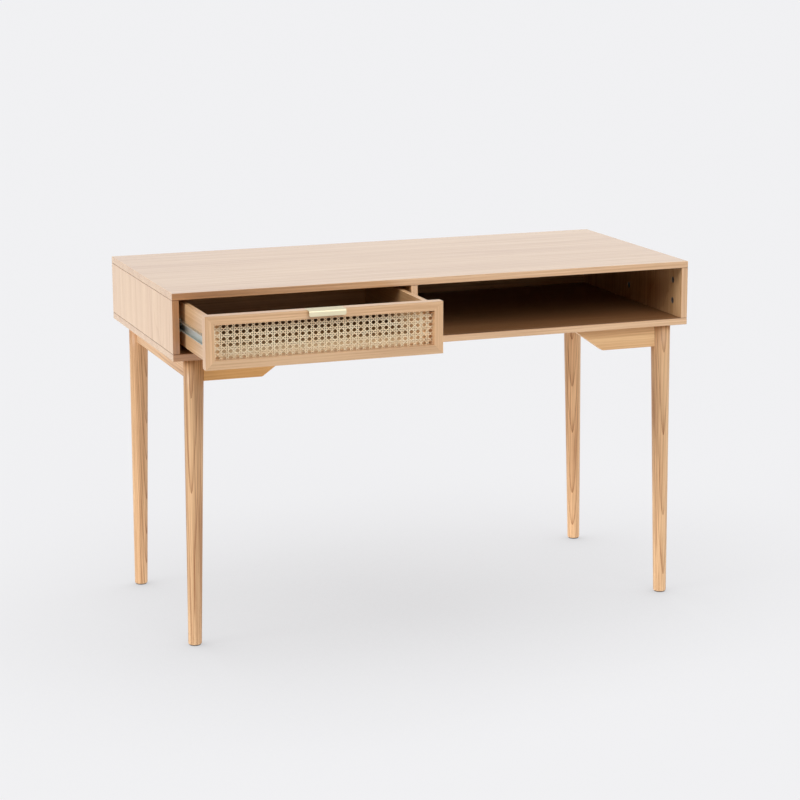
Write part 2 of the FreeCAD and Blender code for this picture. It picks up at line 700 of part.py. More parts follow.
def make_drawer_box():
    dowel_bores = bores_along(box_dowel_places(), "box_dowel_radius + fit_play",
                              "box_dowel_length + fit_play")
    screw_bores = bores_along(corner_screw_places(), "screw_radius + fit_play", "block_screw_length")
    bottom_bores = bores_along(bottom_screw_places(), "screw_radius + fit_play",
                               "screw_length + fit_play")
    groove = block(
        ("bay_centre - box_inside / 2 - bottom_groove", "front_rear - overrun",
         "bottom_base - groove_play"),
        ("box_inside + 2 * bottom_groove", "side_length + 2 * overrun", "bottom_thick + 2 * groove_play"),
    )
    corners = []
    for name, side in LEFT_RIGHT.items():
        outer = "box_width / 2" if side < 0 else "-box_inside / 2"
        wall = board((f"bay_centre - ({outer})", "front_rear", "side_base"),
                     ("side_thick", "side_length", "side_height"))
        pilots = bores_along(drawer_slide_screw_places(side), "screw_radius + fit_play",
                             "screw_length + fit_play")
        piece(cut(wall, groove, *dowel_bores, *pilots), f"drawer_{name}_side")
        inner = "box_inside / 2" if side < 0 else "corner_block - box_inside / 2"
        post = block((f"bay_centre - ({inner})", "front_rear", "side_base"),
                     ("corner_block", "corner_block", "side_height"))
        piece(cut(post, *screw_bores), f"{name}_corner_block")
        notch = "box_inside / 2 + bottom_groove"
        if side > 0:
            notch = "corner_block + groove_play - box_inside / 2"
        corners.append(block(
            (f"bay_centre - ({notch})", "front_rear - overrun", "bottom_base - overrun"),
            ("corner_block + bottom_groove + groove_play", "corner_block + overrun + groove_play",
             "bottom_thick + 2 * overrun"),
        ))
    back = board(("bay_centre - box_inside / 2", "side_end - side_thick", "bottom_top"),
                 ("box_inside", "side_thick", "side_base + side_height - bottom_top"))
    piece(cut(back, *dowel_bores, *bottom_bores), "drawer_back")
    floor = block(
        ("bay_centre - box_inside / 2 - bottom_groove + groove_play", "front_rear", "bottom_base"),
        ("box_inside + 2 * bottom_groove - 2 * groove_play", "side_length", "bottom_thick"),
    )
    piece(cut(floor, *corners, *bottom_bores), "drawer_bottom")
    dowel = rod("box_dowel_radius", "box_dowel_length", sides=FEW_SIDES)
    repeat("drawer_back_dowels", dowel, box_dowel_places())


def make_screw(length):
    """A screw with a pan head, its shank along +Z from the head's underside."""
    return fuse(rod("screw_head_radius", "screw_head", (0, 0, "-screw_head"), "+Z", FEW_SIDES),
                rod("screw_radius", length, sides=FEW_SIDES))


def make_screws():
    screw = make_screw("screw_length")
    both = LEFT_RIGHT.values()
    repeat("case_slide_screws", screw, [at for side in both for at in case_slide_screw_places(side)])
    repeat("drawer_slide_screws", screw, [at for side in both for at in drawer_slide_screw_places(side)])
    repeat("bottom_screws", screw, bottom_screw_places())
    repeat("corner_block_screws", make_screw("block_screw_length"), corner_screw_places())


# Slides
def channel(side, web, thick, flange, reach):
    """A channel's outline across the slide, from the wall that carries the case member.

    web is where the back of the channel lies, thick its plate on the inner side, flange the outer half
    height, and reach where the flanges end. Signs turn it for the left or the right slide."""
    inside = f"({flange} - abs({thick}))"
    points = [
        (web, f"-{flange}"), (reach, f"-{flange}"), (reach, f"-{inside}"),
        (f"{web} + {thick}", f"-{inside}"), (f"{web} + {thick}", inside),
        (reach, inside), (reach, flange), (web, flange),
    ]
    return [(f"{-side} * ({across})", up) for across, up in points]


def make_slide(name, side):
    wall = f"bay_centre + {side} * bay_width / 2"
    case_bores = bores_along(case_slide_screw_places(side), "screw_radius + fit_play", "2 * slide_plate")
    drawer_bores = bores_along(drawer_slide_screw_places(side), "screw_radius + fit_play",
                               "2 * slide_plate")
    fixed = padded("XZ_Plane", channel(side, "0", "slide_plate", "case_channel / 2", "case_flange"),
                   "slide_length")
    place(fixed, (wall, "case_slide_front", "slide_mid"))
    piece(cut(fixed, *case_bores), f"{name}_slide_case_member")
    moving = padded("XZ_Plane", channel(side, "slide_thick", "(-slide_plate)", "drawer_channel / 2",
                                        "slide_thick - drawer_flange"), "slide_length")
    place(moving, (wall, "drawer_slide_front", "slide_mid"))
    piece(cut(moving, *drawer_bores), f"{name}_slide_drawer_member")

    cage = padded("XZ_Plane", channel(side, "cage_web", "cage_plate", "(ball_level + cage_plate / 2)",
                                      "cage_reach"), "cage_length")
    place(cage, (wall, "cage_mid - cage_length / 2", "slide_mid"))
    line = f"{wall} - {side} * ball_line"
    steps = [step - (BALLS_IN_ROW - 1) / 2 for step in range(BALLS_IN_ROW)]
    rows = [f"cage_mid + {step} * ball_pitch" for step in steps]
    holes = [
        rod("ball_hole_radius", "2 * ball_level + 2 * overrun",
            (line, row, "slide_mid - ball_level - overrun"), "+Z", FEW_SIDES)
        for row in rows
    ]
    piece(cut(cage, *holes), f"{name}_ball_cage")
    repeat(f"{name}_slide_balls", make_ball(), [
        ((line, row, f"slide_mid + {way} * ball_level"), "+Z") for row in rows for way in (-1, 1)
    ])


def make_ball():
    """A bearing ball with few faces: a cube, centred on the origin, with all its edges bevelled."""
    body = doc.addObject("PartDesign::Body", "ball")
    cube = body.newObject("PartDesign::AdditiveBox", "cube")
    bind(cube, Length="2 * ball_radius", Width="2 * ball_radius", Height="2 * ball_radius")
    place(cube, ("-ball_radius", "-ball_radius", "-ball_radius"))
    bevel = body.newObject("PartDesign::Chamfer", "bevel")
    bevel.Base = (cube, [f"Edge{number}" for number in range(1, 13)])
    bind(bevel, Size=f"2 * ball_radius * {BALL_BEVEL_SHARE}")
    return body


# Pull
def pull_screw_places():
    return [
        ((f"bay_centre + {side} * pull_screw_step", "front_face + pull_flange / 2", "front_top"), "-Z")
        for side in LEFT_RIGHT.values()
    ]


def make_pull():
    """A bent plate: its flange lies in the top rail, its lip hangs in front of the drawer."""
    body = padded("YZ_Plane", [
        ("pull_flange", "0"), ("-pull_reach", "0"), ("-pull_reach", "-pull_drop"),
        ("pull_plate - pull_reach", "-pull_drop"), ("pull_plate - pull_reach", "-pull_plate"),
        ("pull_flange", "-pull_plate"),
    ], "pull_width", both_ways=True)
    rounded(body, "pull_bend + pull_plate", {"y": "-pull_reach", "z": "0"})
    rounded(body, "pull_bend", {"y": "pull_plate - pull_reach", "z": "-pull_plate"})
    ends = [{"x": f"{side} * pull_width / 2", "z": "-pull_drop"} for side in LEFT_RIGHT.values()]
    rounded(body, "pull_corner", *ends)
    place(body, ("bay_centre", "front_face", "front_top"))
    holes = [
        rod("pull_screw_head_radius + fit_play", "pull_plate + overrun", at, towards, SOME_SIDES)
        for at, towards in pull_screw_places()
    ]
    piece(cut(body, *holes), "drawer_pull")
    screw = fuse(rod("pull_screw_head_radius", "pull_plate", sides=SOME_SIDES),
                 rod("pull_screw_radius", "pull_screw_length", sides=FEW_SIDES))
    repeat("pull_screws", screw, pull_screw_places())


make_case()
make_leg_frame()
make_drawer_front()
make_drawer_box()
for slide_name, slide_side in LEFT_RIGHT.items():
    make_slide(slide_name, slide_side)
make_screws()
make_pull()
doc.recompute()

for thing in doc.Objects:
    if "Invalid" in thing.State or "Error" in thing.State:
        raise RuntimeError(f"{thing.Name} failed: {thing.State}")
for thing in pieces:
    if thing.Shape.isNull() or not thing.Shape.isValid() or not thing.Shape.Solids:
        raise RuntimeError(f"{thing.Label} has no valid solid")

os.makedirs("parts", exist_ok=True)
for thing in pieces:
    thing.Shape.exportStep(os.path.join("parts", thing.Label + ".step"))
print(len(pieces), "sub-parts written")
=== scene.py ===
"""Looks of a desk with a cane-fronted drawer, an open bay and four turned, splayed legs."""

import math

import bpy
from mathutils import Matrix, Vector


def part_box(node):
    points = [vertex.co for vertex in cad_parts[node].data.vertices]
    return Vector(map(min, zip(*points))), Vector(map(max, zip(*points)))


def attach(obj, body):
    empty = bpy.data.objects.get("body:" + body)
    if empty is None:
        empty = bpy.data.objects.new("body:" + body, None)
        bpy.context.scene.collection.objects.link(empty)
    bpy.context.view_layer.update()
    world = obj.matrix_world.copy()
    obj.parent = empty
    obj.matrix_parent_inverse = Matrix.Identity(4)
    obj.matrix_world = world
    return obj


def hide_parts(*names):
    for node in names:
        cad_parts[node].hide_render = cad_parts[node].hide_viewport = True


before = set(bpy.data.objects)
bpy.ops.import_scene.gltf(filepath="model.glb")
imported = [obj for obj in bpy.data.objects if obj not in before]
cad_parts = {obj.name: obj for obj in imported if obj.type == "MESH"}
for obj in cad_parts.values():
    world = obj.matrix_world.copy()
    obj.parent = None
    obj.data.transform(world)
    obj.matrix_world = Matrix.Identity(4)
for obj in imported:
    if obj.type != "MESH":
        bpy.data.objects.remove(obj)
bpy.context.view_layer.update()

bl_info = {
    "name": "Cane-fronted desk",
    "version": (1, 0, 0),
    "blender": (4, 5, 0),
    "location": "View3D > Sidebar > Desk",
    "description": "Dresses the desk's solids in oak, cane, plated steel and brass, and sets its stage",
    "category": "Object",
}

MM = 0.001
UP, DOWN, BACKWARDS = (0, 0, 1), (0, 0, -1), (0, 1, 0)
# Places of a Mix node's sockets for each kind of data: the two that are mixed, and the result
MIX_SOCKETS = {"VECTOR": (4, 5, 1), "RGBA": (6, 7, 2)}
NOISE_MEAN = 0.5


def tint(red, green, blue):
    """A colour as a screen shows it, 0 to 255, in the linear numbers that shaders work with."""
    shares = [level / 255 for level in (red, green, blue)]
    return tuple(s / 12.92 if s <= 0.04045 else ((s + 0.055) / 1.055) ** 2.4 for s in shares)


def toned(share, *colours):
    """The same colours, paler or deeper by one share."""
    return [[share * level for level in colour] for colour in colours]


# Oak. Noises are features a metre across and along the grain, and detail.
GRAIN_TURNS = {"X": (0, -math.pi / 2, 0), "Y": (math.pi / 2, 0, 0), "Z": (0, 0, 0)}
SWAY = (7, 1.6, 2)
PORES = (900, 28, 1)
PORE_EDGE = (0.56, 0.7)
STREAK = (240, 3.5, 3)
# Noises that shift the tone from light to dark, each with its weight
TONE_NOISES = {"streak": (STREAK, 1.6), "broad": ((9, 0.9, 1), 0.7), "band": ((38, 1.8, 2), 0.9)}
TONE_MEAN = 0.3
PORE_TONE = 0.22
LATE_PORES = 0.35
# Early wood: its weight in the tone, how fast it fades through a year, and its mean
EARLY_TONE, EARLY_FADE, EARLY_MEAN = 0.9, 6, 0.14
OAK_RELIEF, OAK_RELIEF_DEPTH = 0.25, 0.4 * MM
STREAK_HEIGHT, PORE_HEIGHT = 0.6, 0.5
OAK_ROUGH, STREAK_ROUGH = 0.36, 0.14
BARE_GLOSS, LACQUER_GLOSS = 0.4, 0.5
LACQUER = {"Coat Roughness": 0.22, "Coat IOR": 1.7}
VENEER_LACQUER, DRAWER_LACQUER = 1.0, 0.5
# How far the growth rings of boards and of legs wander off their round
BOARD_WANDER, LEG_WANDER = 0.03, 0.012
# Where the middle of a board's log lies, off the origin, and its lean along the grain
PLAIN_TREE = ((0.11, 0.07), (0, 0))
TREES = {
    "veneer_along": ((0.05, 0.3), (0.015, 0)),
    "veneer_upright": ((0.3, 0.05), (0.05, 0)),
    "veneer_upright_left": ((0.34, 0.05), (0.05, 0)),
    "veneer_back": ((0.3, 0.1), (0.02, 0)),
    "oak_rail": ((0.2, 0.3), (0.03, 0)),
    "oak_bracket": ((0.2, 0.1), (0.04, 0)),
    "oak_bracket_right": ((0.2, 0.1), (0.04, 0)),
    "front_rail_oak": ((0.1, 0.3), (0.02, 0)),
    "front_low_oak": ((0.1, 0.3), (0.02, 0)),
    "front_stile_oak": ((0.3, 0.2), (0, 0)),
}
# Each leg's log: its middle off the foot's at PITH_LEVEL above the floor, its lean, and the leg's tone, which
# is
# painted light and shade: the rear legs paler against the desk's shadow, the front left leg deeper against
# its light
LEGS = {
    "front_left_leg": ((0.041, 0.051), (-0.005, -0.0065), 0.94),
    "front_right_leg": ((0, 0.051), (0, -0.005), 1.0),
    "rear_left_leg": ((-0.042, 0.051), (0.0088, -0.0082), 1.12),
    "rear_right_leg": ((0.025, 0.047), (0, -0.014), 1.12),
}
PITH_LEVEL = 0.35
# Painted light and shade: left side panel and right brackets paler as if lit, low rail deeper as if shaded
LEFT_SIDE_PAINTED_LIGHT, RIGHT_BRACKET_PAINTED_LIGHT, LOW_RAIL_PAINTED_SHADE = 1.06, 1.08, 0.88
# Lipped front edges: how deep the lip is, and where along X the left tone, painted shade of the open drawer,
# turns into the right one
LIP, EDGE_SHADE_CHANGE = 0.9 * MM, (-0.59, -0.1)
SEAM, SEAM_SHARE, SEAM_TONE = 1.2 * MM, 0.8, tint(110, 66, 34)
# Insides that get painted shade: how far its box reaches into their walls, between which distances from its
# start the painted shade deepens, and how far behind the front edges that start lies in the bays
SKIN = 0.4 * MM
BAY_SHADE_FADE, DRAWER_SHADE_FADE, BOTTOM_SHADE_FADE = (0, 0.05), (0, 0.16), (0.066, 0.17)
BAY_SHADE_INSET = 1 * MM

# The other finishes: their noises, how these shift the tone, and what they add to the roughness
FINE_RELIEF, FINE_RELIEF_DEPTH = 0.2, 0.2 * MM
METAL_MARKS, METAL_CLOUD = (1400, 30, 2), (60, 30, 3)
METAL_WORN, METAL_CLEAN, MARK_TONE, CLOUD_TONE, MARK_ROUGH = 0.72, 0.15, 0.5, 0.5, 0.2
# Each metal's mean roughness, and how strongly the marks of its making show
METALS = {
    "zinc_plating": (0.42, 0.12), "ball_steel": (0.12, 0.02), "pull_brass": (0.55, 0.06),
    "cam_zinc": (0.45, 0.2), "bolt_plating": (0.36, 0.12), "screw_plating": (0.32, 0.12),
}
PLASTIC_GRIT, PLASTIC_CLOUD = (1500, 1500, 2), (80, 80, 2)
PLASTIC_PALE, PLASTIC_ROUGH, GRIT_ROUGH = 1.5, 0.5, 0.2
CANE_FIBRES, CANE_PATCHES = (700, 700, 3), (45, 45, 2)
FIBRE_TONE, PATCH_TONE, CANE_CLEAN = 1.2, 1.0, 0.75
CANE_ROUGH, FIBRE_ROUGH = 0.36, 0.25

# Cane: where the sheet's middle lies on its lattice, and how far pairs and slanted strands wave
CANE_SHIFT = (-0.29, 0.385)
PAIR_WAVE, SLANT_WAVE = 0.55, 1.25
CANE_SIDES = 6

# Legs: sides, rings up the leg, and how much the rings crowd towards the foot
LEG_SIDES, LEG_RINGS, LEG_CROWD = 56, 24, 3

# Screws in mm: radius, depth, dome and recess of the head, radius and length of the shank
SCREW_SIZES = ("Head Radius", "Head Depth", "Dome", "Recess", "Shank Radius", "Shank Length")
SCREWS = {
    "board": (3, 1.6, 0.7, 2.1, 1.75, 11),
    "block": (3, 1.6, 0.7, 2.1, 1.75, 30),
    "pull": (2.75, 1.45, 0.1, 1.7, 1.5, 12.4),
}
HEAD_SIDES, SHANK_SIDES, SHANK_TIP = 24, 8, 0.4
RECESS_WIDTH, RECESS_LIFT = 0.45, 0.6
# From a screw's solid's box to the middle of its head, across and up, and to the seat under the head
SCREW_EDGE, SCREW_EDGE_UP, SCREW_SEAT = 3 * MM, 2.6 * MM, 1.6 * MM
PULL_SCREW_EDGE, PULL_SCREW_SEAT = 2.8 * MM, 1.5 * MM
# Slides: thickness of their sheet, shares of a member's length at its screws, and balls in a row
SLIDE_SHEET, SLIDE_SCREWS, BALL_COUNT = 1.2 * MM, (0.05, 0.52, 0.92), 4
BALL_SIDES, BALL_RINGS = 16, 10
# Cams: from their solid's box to the middle of a drum, how deep a face lies in its board, and its dome
CAM_EDGE, CAM_INSET, CAM_DOME = 7.4 * MM, 0.6 * MM, 0.4 * MM

# Stage
FLOOR_REACH = 60
FLOOR_PAINT = (0.95, 0.95, 0.96, 1)
BOUNCE_FADE = (2.0, 3.2)
# The soft shadow: how far from the object it reaches, its samples, and the way that the floor looks for it
SHADOW_REACH, SHADOW_SAMPLES, SHADOW_LEAN = 0.9, 16, (0.0, 0.3, 0.95)
SKY_RISE = (0.3, 0.9)
# Each lamp's direction and the angle that it spreads over
LAMPS = {
    "key": ((-0.94, -0.1, 0.31), 24),
    "front": ((0.05, -0.79, 0.6), 40),
    "fill": ((0.78, -0.3, 0.55), 40),
}
# The photograph's viewpoint: its place, and its turn, tilt and roll in degrees
CAMERA_PLACE, CAMERA_TURNS, SENSOR_WIDTH = (-1.7779, -4.8056, 1.5921), (19.963, -12.338, -0.246), 36


def colour_prop(name, description, *levels):
    return bpy.props.FloatVectorProperty(
        name=name, description=description, default=tint(*levels), min=0, max=1, size=3, subtype="COLOR")


def length_prop(name, description, millimetres):
    return bpy.props.FloatProperty(
        name=name, description=description, default=millimetres * MM, min=0, unit="LENGTH", precision=5)


def share_prop(name, description, share):
    return bpy.props.FloatProperty(
        name=name, description=description, default=share, min=0, max=1, subtype="FACTOR")


def level_prop(name, description, level):
    return bpy.props.FloatProperty(name=name, description=description, default=level, min=0)


# Sizes and colours that a user would change
class DeskWood(bpy.types.PropertyGroup):
    """Oak of the case, the leg frame and the drawer."""

    face_light: colour_prop("Veneer, light", "Pale wood of the veneered faces", 235, 194, 145)
    face_dark: colour_prop("Veneer, dark", "Streaks of the veneered faces", 196, 142, 92)
    edge_light: colour_prop("Edges, light", "Pale wood of the boards' front edges", 233, 191, 147)
    edge_dark: colour_prop("Edges, dark", "Streaks of the boards' front edges", 192, 142, 95)
    # Painted shade: the front edges at the left are darker where the open drawer shades them
    shaded_edge_pale: colour_prop("Left edge, light", "Pale wood of the front edges at the left", 186, 132, 82)
    shaded_edge_streak: colour_prop("Left edge, dark", "Streaks of the front edges at the left", 136, 88, 46)
    leg_light: colour_prop("Legs, light", "Pale wood of the turned legs", 232, 190, 145)
    leg_dark: colour_prop("Legs, dark", "Growth lines of the turned legs", 150, 96, 54)
    # Painted light and shade: brackets paler than the legs as if lit from the front, the left ones deeper
    # gold as if shaded
    bracket_painted_light: colour_prop("Brackets, light", "Pale wood of the left brackets", 246, 197, 134)
    bracket_painted_streaks: colour_prop("Brackets, dark", "Streaks of the left brackets", 217, 160, 90)
    drawer_light: colour_prop("Drawer, light", "Pale wood of the drawer's sides and back", 229, 188, 142)
    drawer_dark: colour_prop("Drawer, dark", "Streaks of the drawer's sides and back", 194, 146, 98)
    # Painted light: the drawer's bottom and corner blocks paler, as if lit through the cane and over the
    # front
    bottom_painted_light: colour_prop("Bottom, light", "Pale wood of the drawer's bottom and blocks", 255, 224, 180)
    bottom_painted_streaks: colour_prop("Bottom, dark", "Streaks of the drawer's bottom and blocks", 238, 198, 148)
    # Painted shade: tints and shares that darken the faces inside the bays and the drawer, more so further in
    bay: colour_prop("Bay", "What deepens the faces inside the bays", 239, 210, 149)
    bay_shade_depth: share_prop("Bay share", "How much the faces inside the bays are deepened", 0.2)
    deep: colour_prop("Drawer inside", "What deepens the faces inside the drawer", 121, 101, 66)
    depth: share_prop("Side share", "How much the insides of the drawer's sides are deepened", 0.6)
    back_shade_depth: share_prop("Back share", "How much the inside of the drawer's back is deepened", 0.36)
    bottom_shade_depth: share_prop("Bottom share", "How much the back of the drawer's bottom is deepened", 1.0)
    ring: length_prop("Growth ring", "Mean width of a growth ring in the boards", 6)
    leg_ring: length_prop("Leg growth ring", "Mean width of a growth ring in the legs", 3.4)
    figure: share_prop("Figure", "How strongly growth rings show in the boards", 0.32)
    leg_figure: share_prop("Leg figure", "How strongly growth rings show in the legs", 0.65)


class DeskLegs(bpy.types.PropertyGroup):
    """Turned legs."""

    foot_out: length_prop("Foot", "Distance from the desk's middle to the middle of a foot", 559.8)
    head_out: length_prop("Head", "Distance from the desk's middle to the middle of a leg's head", 548.5)
    foot_radius: length_prop("Foot radius", "Radius of a leg at its foot", 14.8)
    head_radius: length_prop("Head radius", "Radius of a leg at its head", 22)
    bevel: length_prop("Bevel", "Bevel round the foot", 1.5)


class DeskCane(bpy.types.PropertyGroup):
    """Woven cane of the drawer front."""

    pitch: length_prop("Pitch", "Distance from one hole to the next along the front", 14)
    row: length_prop("Row", "Distance from one row of holes to the next", 13)
    strand: length_prop("Strand", "Width of a strand", 1.8)
    thick: length_prop("Thickness", "Thickness of a strand", 0.55)
    pair: length_prop("Pair", "Distance between the two strands of a pair", 3.7)
    step: length_prop("Step", "Distance between the points along a strand", 2.3)
    light: colour_prop("Cane, light", "Glossy side of the cane", 255, 243, 214)
    dark: colour_prop("Cane, dark", "Fibres and nodes of the cane", 232, 198, 150)


class DeskMetal(bpy.types.PropertyGroup):
    """Fittings: slides, screws, cam locks, glides and the pull."""

    steel: colour_prop("Plated steel", "Zinc-plated slides and screws", 200, 205, 199)
    zinc: colour_prop("Cast zinc", "Cam locks", 158, 158, 160)
    bright: colour_prop("Polished steel", "Balls of the slides", 225, 226, 228)
    brass: colour_prop("Satin brass", "Bent pull", 228, 219, 188)
    plastic: colour_prop("Glides", "Plastic under the feet", 52, 48, 45)
    ball: length_prop("Ball", "Radius of a bearing ball", 1.3)
    cam_radius: length_prop("Cam radius", "Radius of a cam lock's drum", 7.35)
    cam_depth: length_prop("Cam depth", "Depth of a cam lock's drum", 11.6)
    cam_recess: length_prop("Cam recess", "Half the length of the cross in a cam lock's face", 4.2)


class DeskStage(bpy.types.PropertyGroup):
    """Floor, light and camera."""

    ground: colour_prop("Floor", "Pale floor and background", 241, 241, 243)
    zenith: level_prop("Zenith", "Light from straight above", 0.56)
    horizon: level_prop("Horizon", "Light from the level of the floor", 0.0)
    key: level_prop("Key", "Broad light from the left", 1.95)
    front: level_prop("Front", "Broad light from the front", 1.38)
    fill: level_prop("Fill", "Broad light from the right", 0.5)
    bounce: share_prop("Bounce", "How much light the floor near the object throws back at it", 1.0)
    shade: share_prop("Shade", "How much of the lamps' own shadows the camera sees on the floor", 0.08)
    hidden: colour_prop("Shadow", "Floor that the object hides from all light above it", 176, 176, 178)
    lens: bpy.props.FloatProperty(
        name="Lens", description="Focal length for the sensor's width", default=104.03, unit="CAMERA")


# Node trees written as expressions
class Value:
    """A node's output, on which shader and geometry maths is written with the usual signs."""

    def __init__(self, net, socket):
        self.net = net
        self.socket = socket

    def __getitem__(self, output):
        return Value(self.net, self.socket.node.outputs[output])

    def __add__(self, other):
        return self.net.maths("ADD", self, other)

    def __sub__(self, other):
        return self.net.maths("SUBTRACT", self, other)

    def __rsub__(self, other):
        return self.net.maths("SUBTRACT", other, self)

    def __mul__(self, other):
        return self.net.maths("MULTIPLY", self, other)

    def __truediv__(self, other):
        return self.net.maths("DIVIDE", self, other)

    def __rtruediv__(self, other):
        return self.net.maths("DIVIDE", other, self)

    def __pow__(self, other):
        return self.net.maths("POWER", self, other)

    def __rpow__(self, other):
        return self.net.maths("POWER", other, self)

    def __neg__(self):
        return self.net.maths("MULTIPLY", self, -1)

    def __lt__(self, other):
        return self.net.maths("LESS_THAN", self, other)

    def __gt__(self, other):
        return self.net.maths("GREATER_THAN", self, other)

    __radd__ = __add__
    __rmul__ = __mul__


class Net:
    """A node tree of any kind, filled by one method."""

    def __init__(self, tree):
        self.tree = tree

    def add(self, kind, settings=None, inputs=None, out=0):
        """Add a node: its settings first, then the values or links of its sockets."""
        node = self.tree.nodes.new(kind)
        for name, setting in (settings or {}).items():
            setattr(node, name, setting)
        for key, given in (inputs or {}).items():
            for item in given if isinstance(given, list) else [given]:
                if isinstance(item, Value):
                    self.tree.links.new(item.socket, node.inputs[key])
                else:
                    node.inputs[key].default_value = item
        return Value(self, node.outputs[out]) if node.outputs else None

    def maths(self, operation, *values):
        return self.add("ShaderNodeMath", {"operation": operation}, dict(enumerate(values)))

    def split(self, vector):
        parts = self.add("ShaderNodeSeparateXYZ", None, {0: vector})
        return parts["X"], parts["Y"], parts["Z"]

    def join(self, x, y, z):
        return self.add("ShaderNodeCombineXYZ", None, {"X": x, "Y": y, "Z": z})

    def blend(self, share, first, second, kind="RGBA", way="MIX"):
        """A colour or vector between two others, or a colour multiplied by the second."""
        *places, out = MIX_SOCKETS[kind]
        inputs = {0: share}
        for place, given in zip(places, (first, second)):
            inputs[place] = given if isinstance(given, Value) else (*given, 1)
        settings = {"data_type": kind, "clamp_factor": True, "blend_type": way}
        return self.add("ShaderNodeMix", settings, inputs, out)

    def ease(self, value, low, high):
        """0 up to low, 1 from high, and smooth between them."""
        settings = {"interpolation_type": "SMOOTHSTEP"}
        return self.add("ShaderNodeMapRange", settings, {0: value, 1: low, 2: high})

    def place(self):
        return self.add("ShaderNodeTexCoord", None, None, "Object")

    def grain(self, place, along):
        """The place, turned so that the grain along an axis runs along Z."""
        return self.add("ShaderNodeMapping", None, {"Vector": place, "Rotation": GRAIN_TURNS[along]})

    def noise(self, vector, across, along, detail, out="Fac"):
        """Noise in features a metre across and along Z."""
        scale = (across, across, along)
        spread = self.add("ShaderNodeMapping", None, {"Vector": vector, "Scale": scale})
        inputs = {"Vector": spread, "Scale": 1, "Detail": detail}
        return self.add("ShaderNodeTexNoise", None, inputs, out)

    def relief(self, height, strength=FINE_RELIEF, depth=FINE_RELIEF_DEPTH):
        inputs = {"Strength": strength, "Distance": depth, "Height": height}
        return self.add("ShaderNodeBump", None, inputs)


# Materials
def cleared(owner):
    """The emptied node tree of a material or world."""
    owner.use_nodes = True
    owner.node_tree.nodes.clear()
    return Net(owner.node_tree)


def surface(name, paint):
    """A material whose nodes are laid by paint(net), which gives the sockets of its shader."""
    material = bpy.data.materials.new(name)
    net = cleared(material)
    shader = net.add("ShaderNodeBsdfPrincipled", None, paint(net))
    net.add("ShaderNodeOutputMaterial", None, {"Surface": shader})
    return material


def within(parts, low, high):
    """1 in a box and on its walls, 0 elsewhere."""
    share = 1
    for part, start, end in zip(parts, low, high):
        share = (part > start - SKIN) * (part < end + SKIN) * share
    return share


def oak(name, tones, along, ring, figure, tree, wander=BOARD_WANDER, lacquer=0.0, edge=None, seams=(),
        hollow=None):
    """Oak with its grain along one axis, cut from a tree.

    edge is the tones of the lipped front edges at the left and at the right, and where the front is; the left
    tones are painted shade of the open drawer.
    seams are the heights at which a dark joint line shows. The last argument is an inside that gets painted
    shade: its lowest and highest corner, the colour of the shade, how much, and where behind its front the
    shade starts and ends.
    """
    heart, lean = tree

    def paint(net):
        place = net.place()
        parts = across, inwards, level = net.split(place)
        grain = net.grain(place, along)
        sway = net.noise(grain, *SWAY, "Color")
        drift = net.add("ShaderNodeVectorMath", {"operation": "MULTIPLY_ADD"},
                        {0: sway, 1: (wander, wander, 0), 2: grain})
        x, y, z = net.split(drift)
        reach = ((x + heart[0] + z * lean[0]) ** 2 + (y + heart[1] + z * lean[1]) ** 2) ** 0.5
        year = net.maths("FRACT", reach / ring)
        early = (1 - year) ** EARLY_FADE
        tone = TONE_MEAN + figure * EARLY_TONE * (early - EARLY_MEAN)
        noises = {}
        for kind, (features, weight) in TONE_NOISES.items():
            noises[kind] = net.noise(grain, *features)
            tone += weight * (noises[kind] - NOISE_MEAN)
        pores = net.ease(net.noise(grain, *PORES), *PORE_EDGE)
        tone += PORE_TONE * pores * (LATE_PORES + early)
        colour = net.blend(tone, *tones)
        if edge:
            left, right, front = edge
            # Painted shade: the lips turn to darker tones towards the left, where the open drawer shades them
            change = net.ease(across, *EDGE_SHADE_CHANGE)
            lip = net.blend(change, net.blend(tone, *left), net.blend(tone, *right))
            colour = net.blend(inwards < front + LIP, colour, lip)
        # Painted shade: an inside's colour is multiplied by a shade tint that grows further behind its front
        if hollow:
            low, high, deep, depth, (start, end) = hollow
            back = net.ease(inwards, low.y + start, low.y + end)
            inside = within(parts, low, high) * back * depth
            colour = net.blend(inside, colour, deep, way="MULTIPLY")
        coat = lacquer
        for seam in seams:
            joint = net.maths("ABSOLUTE", level - seam) < SEAM / 2
            colour = net.blend(SEAM_SHARE * joint, colour, SEAM_TONE)
            coat = coat * (1 - joint)
        height = STREAK_HEIGHT * noises["streak"] - PORE_HEIGHT * pores
        return {"Base Color": colour, "Roughness": OAK_ROUGH + STREAK_ROUGH * noises["streak"],
                "Normal": net.relief(height, OAK_RELIEF, OAK_RELIEF_DEPTH),
                "Specular IOR Level": LACQUER_GLOSS if lacquer else BARE_GLOSS,
                "Coat Weight": coat, **LACQUER}

    return surface(name, paint)


def board(wood, name, tones, along, **finish):
    """The oak of a board from its own tree."""
    tree = TREES.get(name, PLAIN_TREE)
    return oak(name, tones, along, wood.ring, wood.figure, tree, **finish)


def metal(name, colour, along):
    """Metal with fine marks along one axis."""
    rough, brush = METALS[name]

    def paint(net):
        turned = net.grain(net.place(), along)
        marks = net.noise(turned, *METAL_MARKS)
        cloud = net.noise(turned, *METAL_CLOUD)
        [worn] = toned(METAL_WORN, colour)
        shade = net.blend(MARK_TONE * marks + CLOUD_TONE * cloud - METAL_CLEAN, colour, worn)
        return {"Base Color": shade, "Metallic": 1, "Normal": net.relief(marks, brush),
                "Roughness": rough + MARK_ROUGH * (marks - NOISE_MEAN)}

    return surface(name, paint)


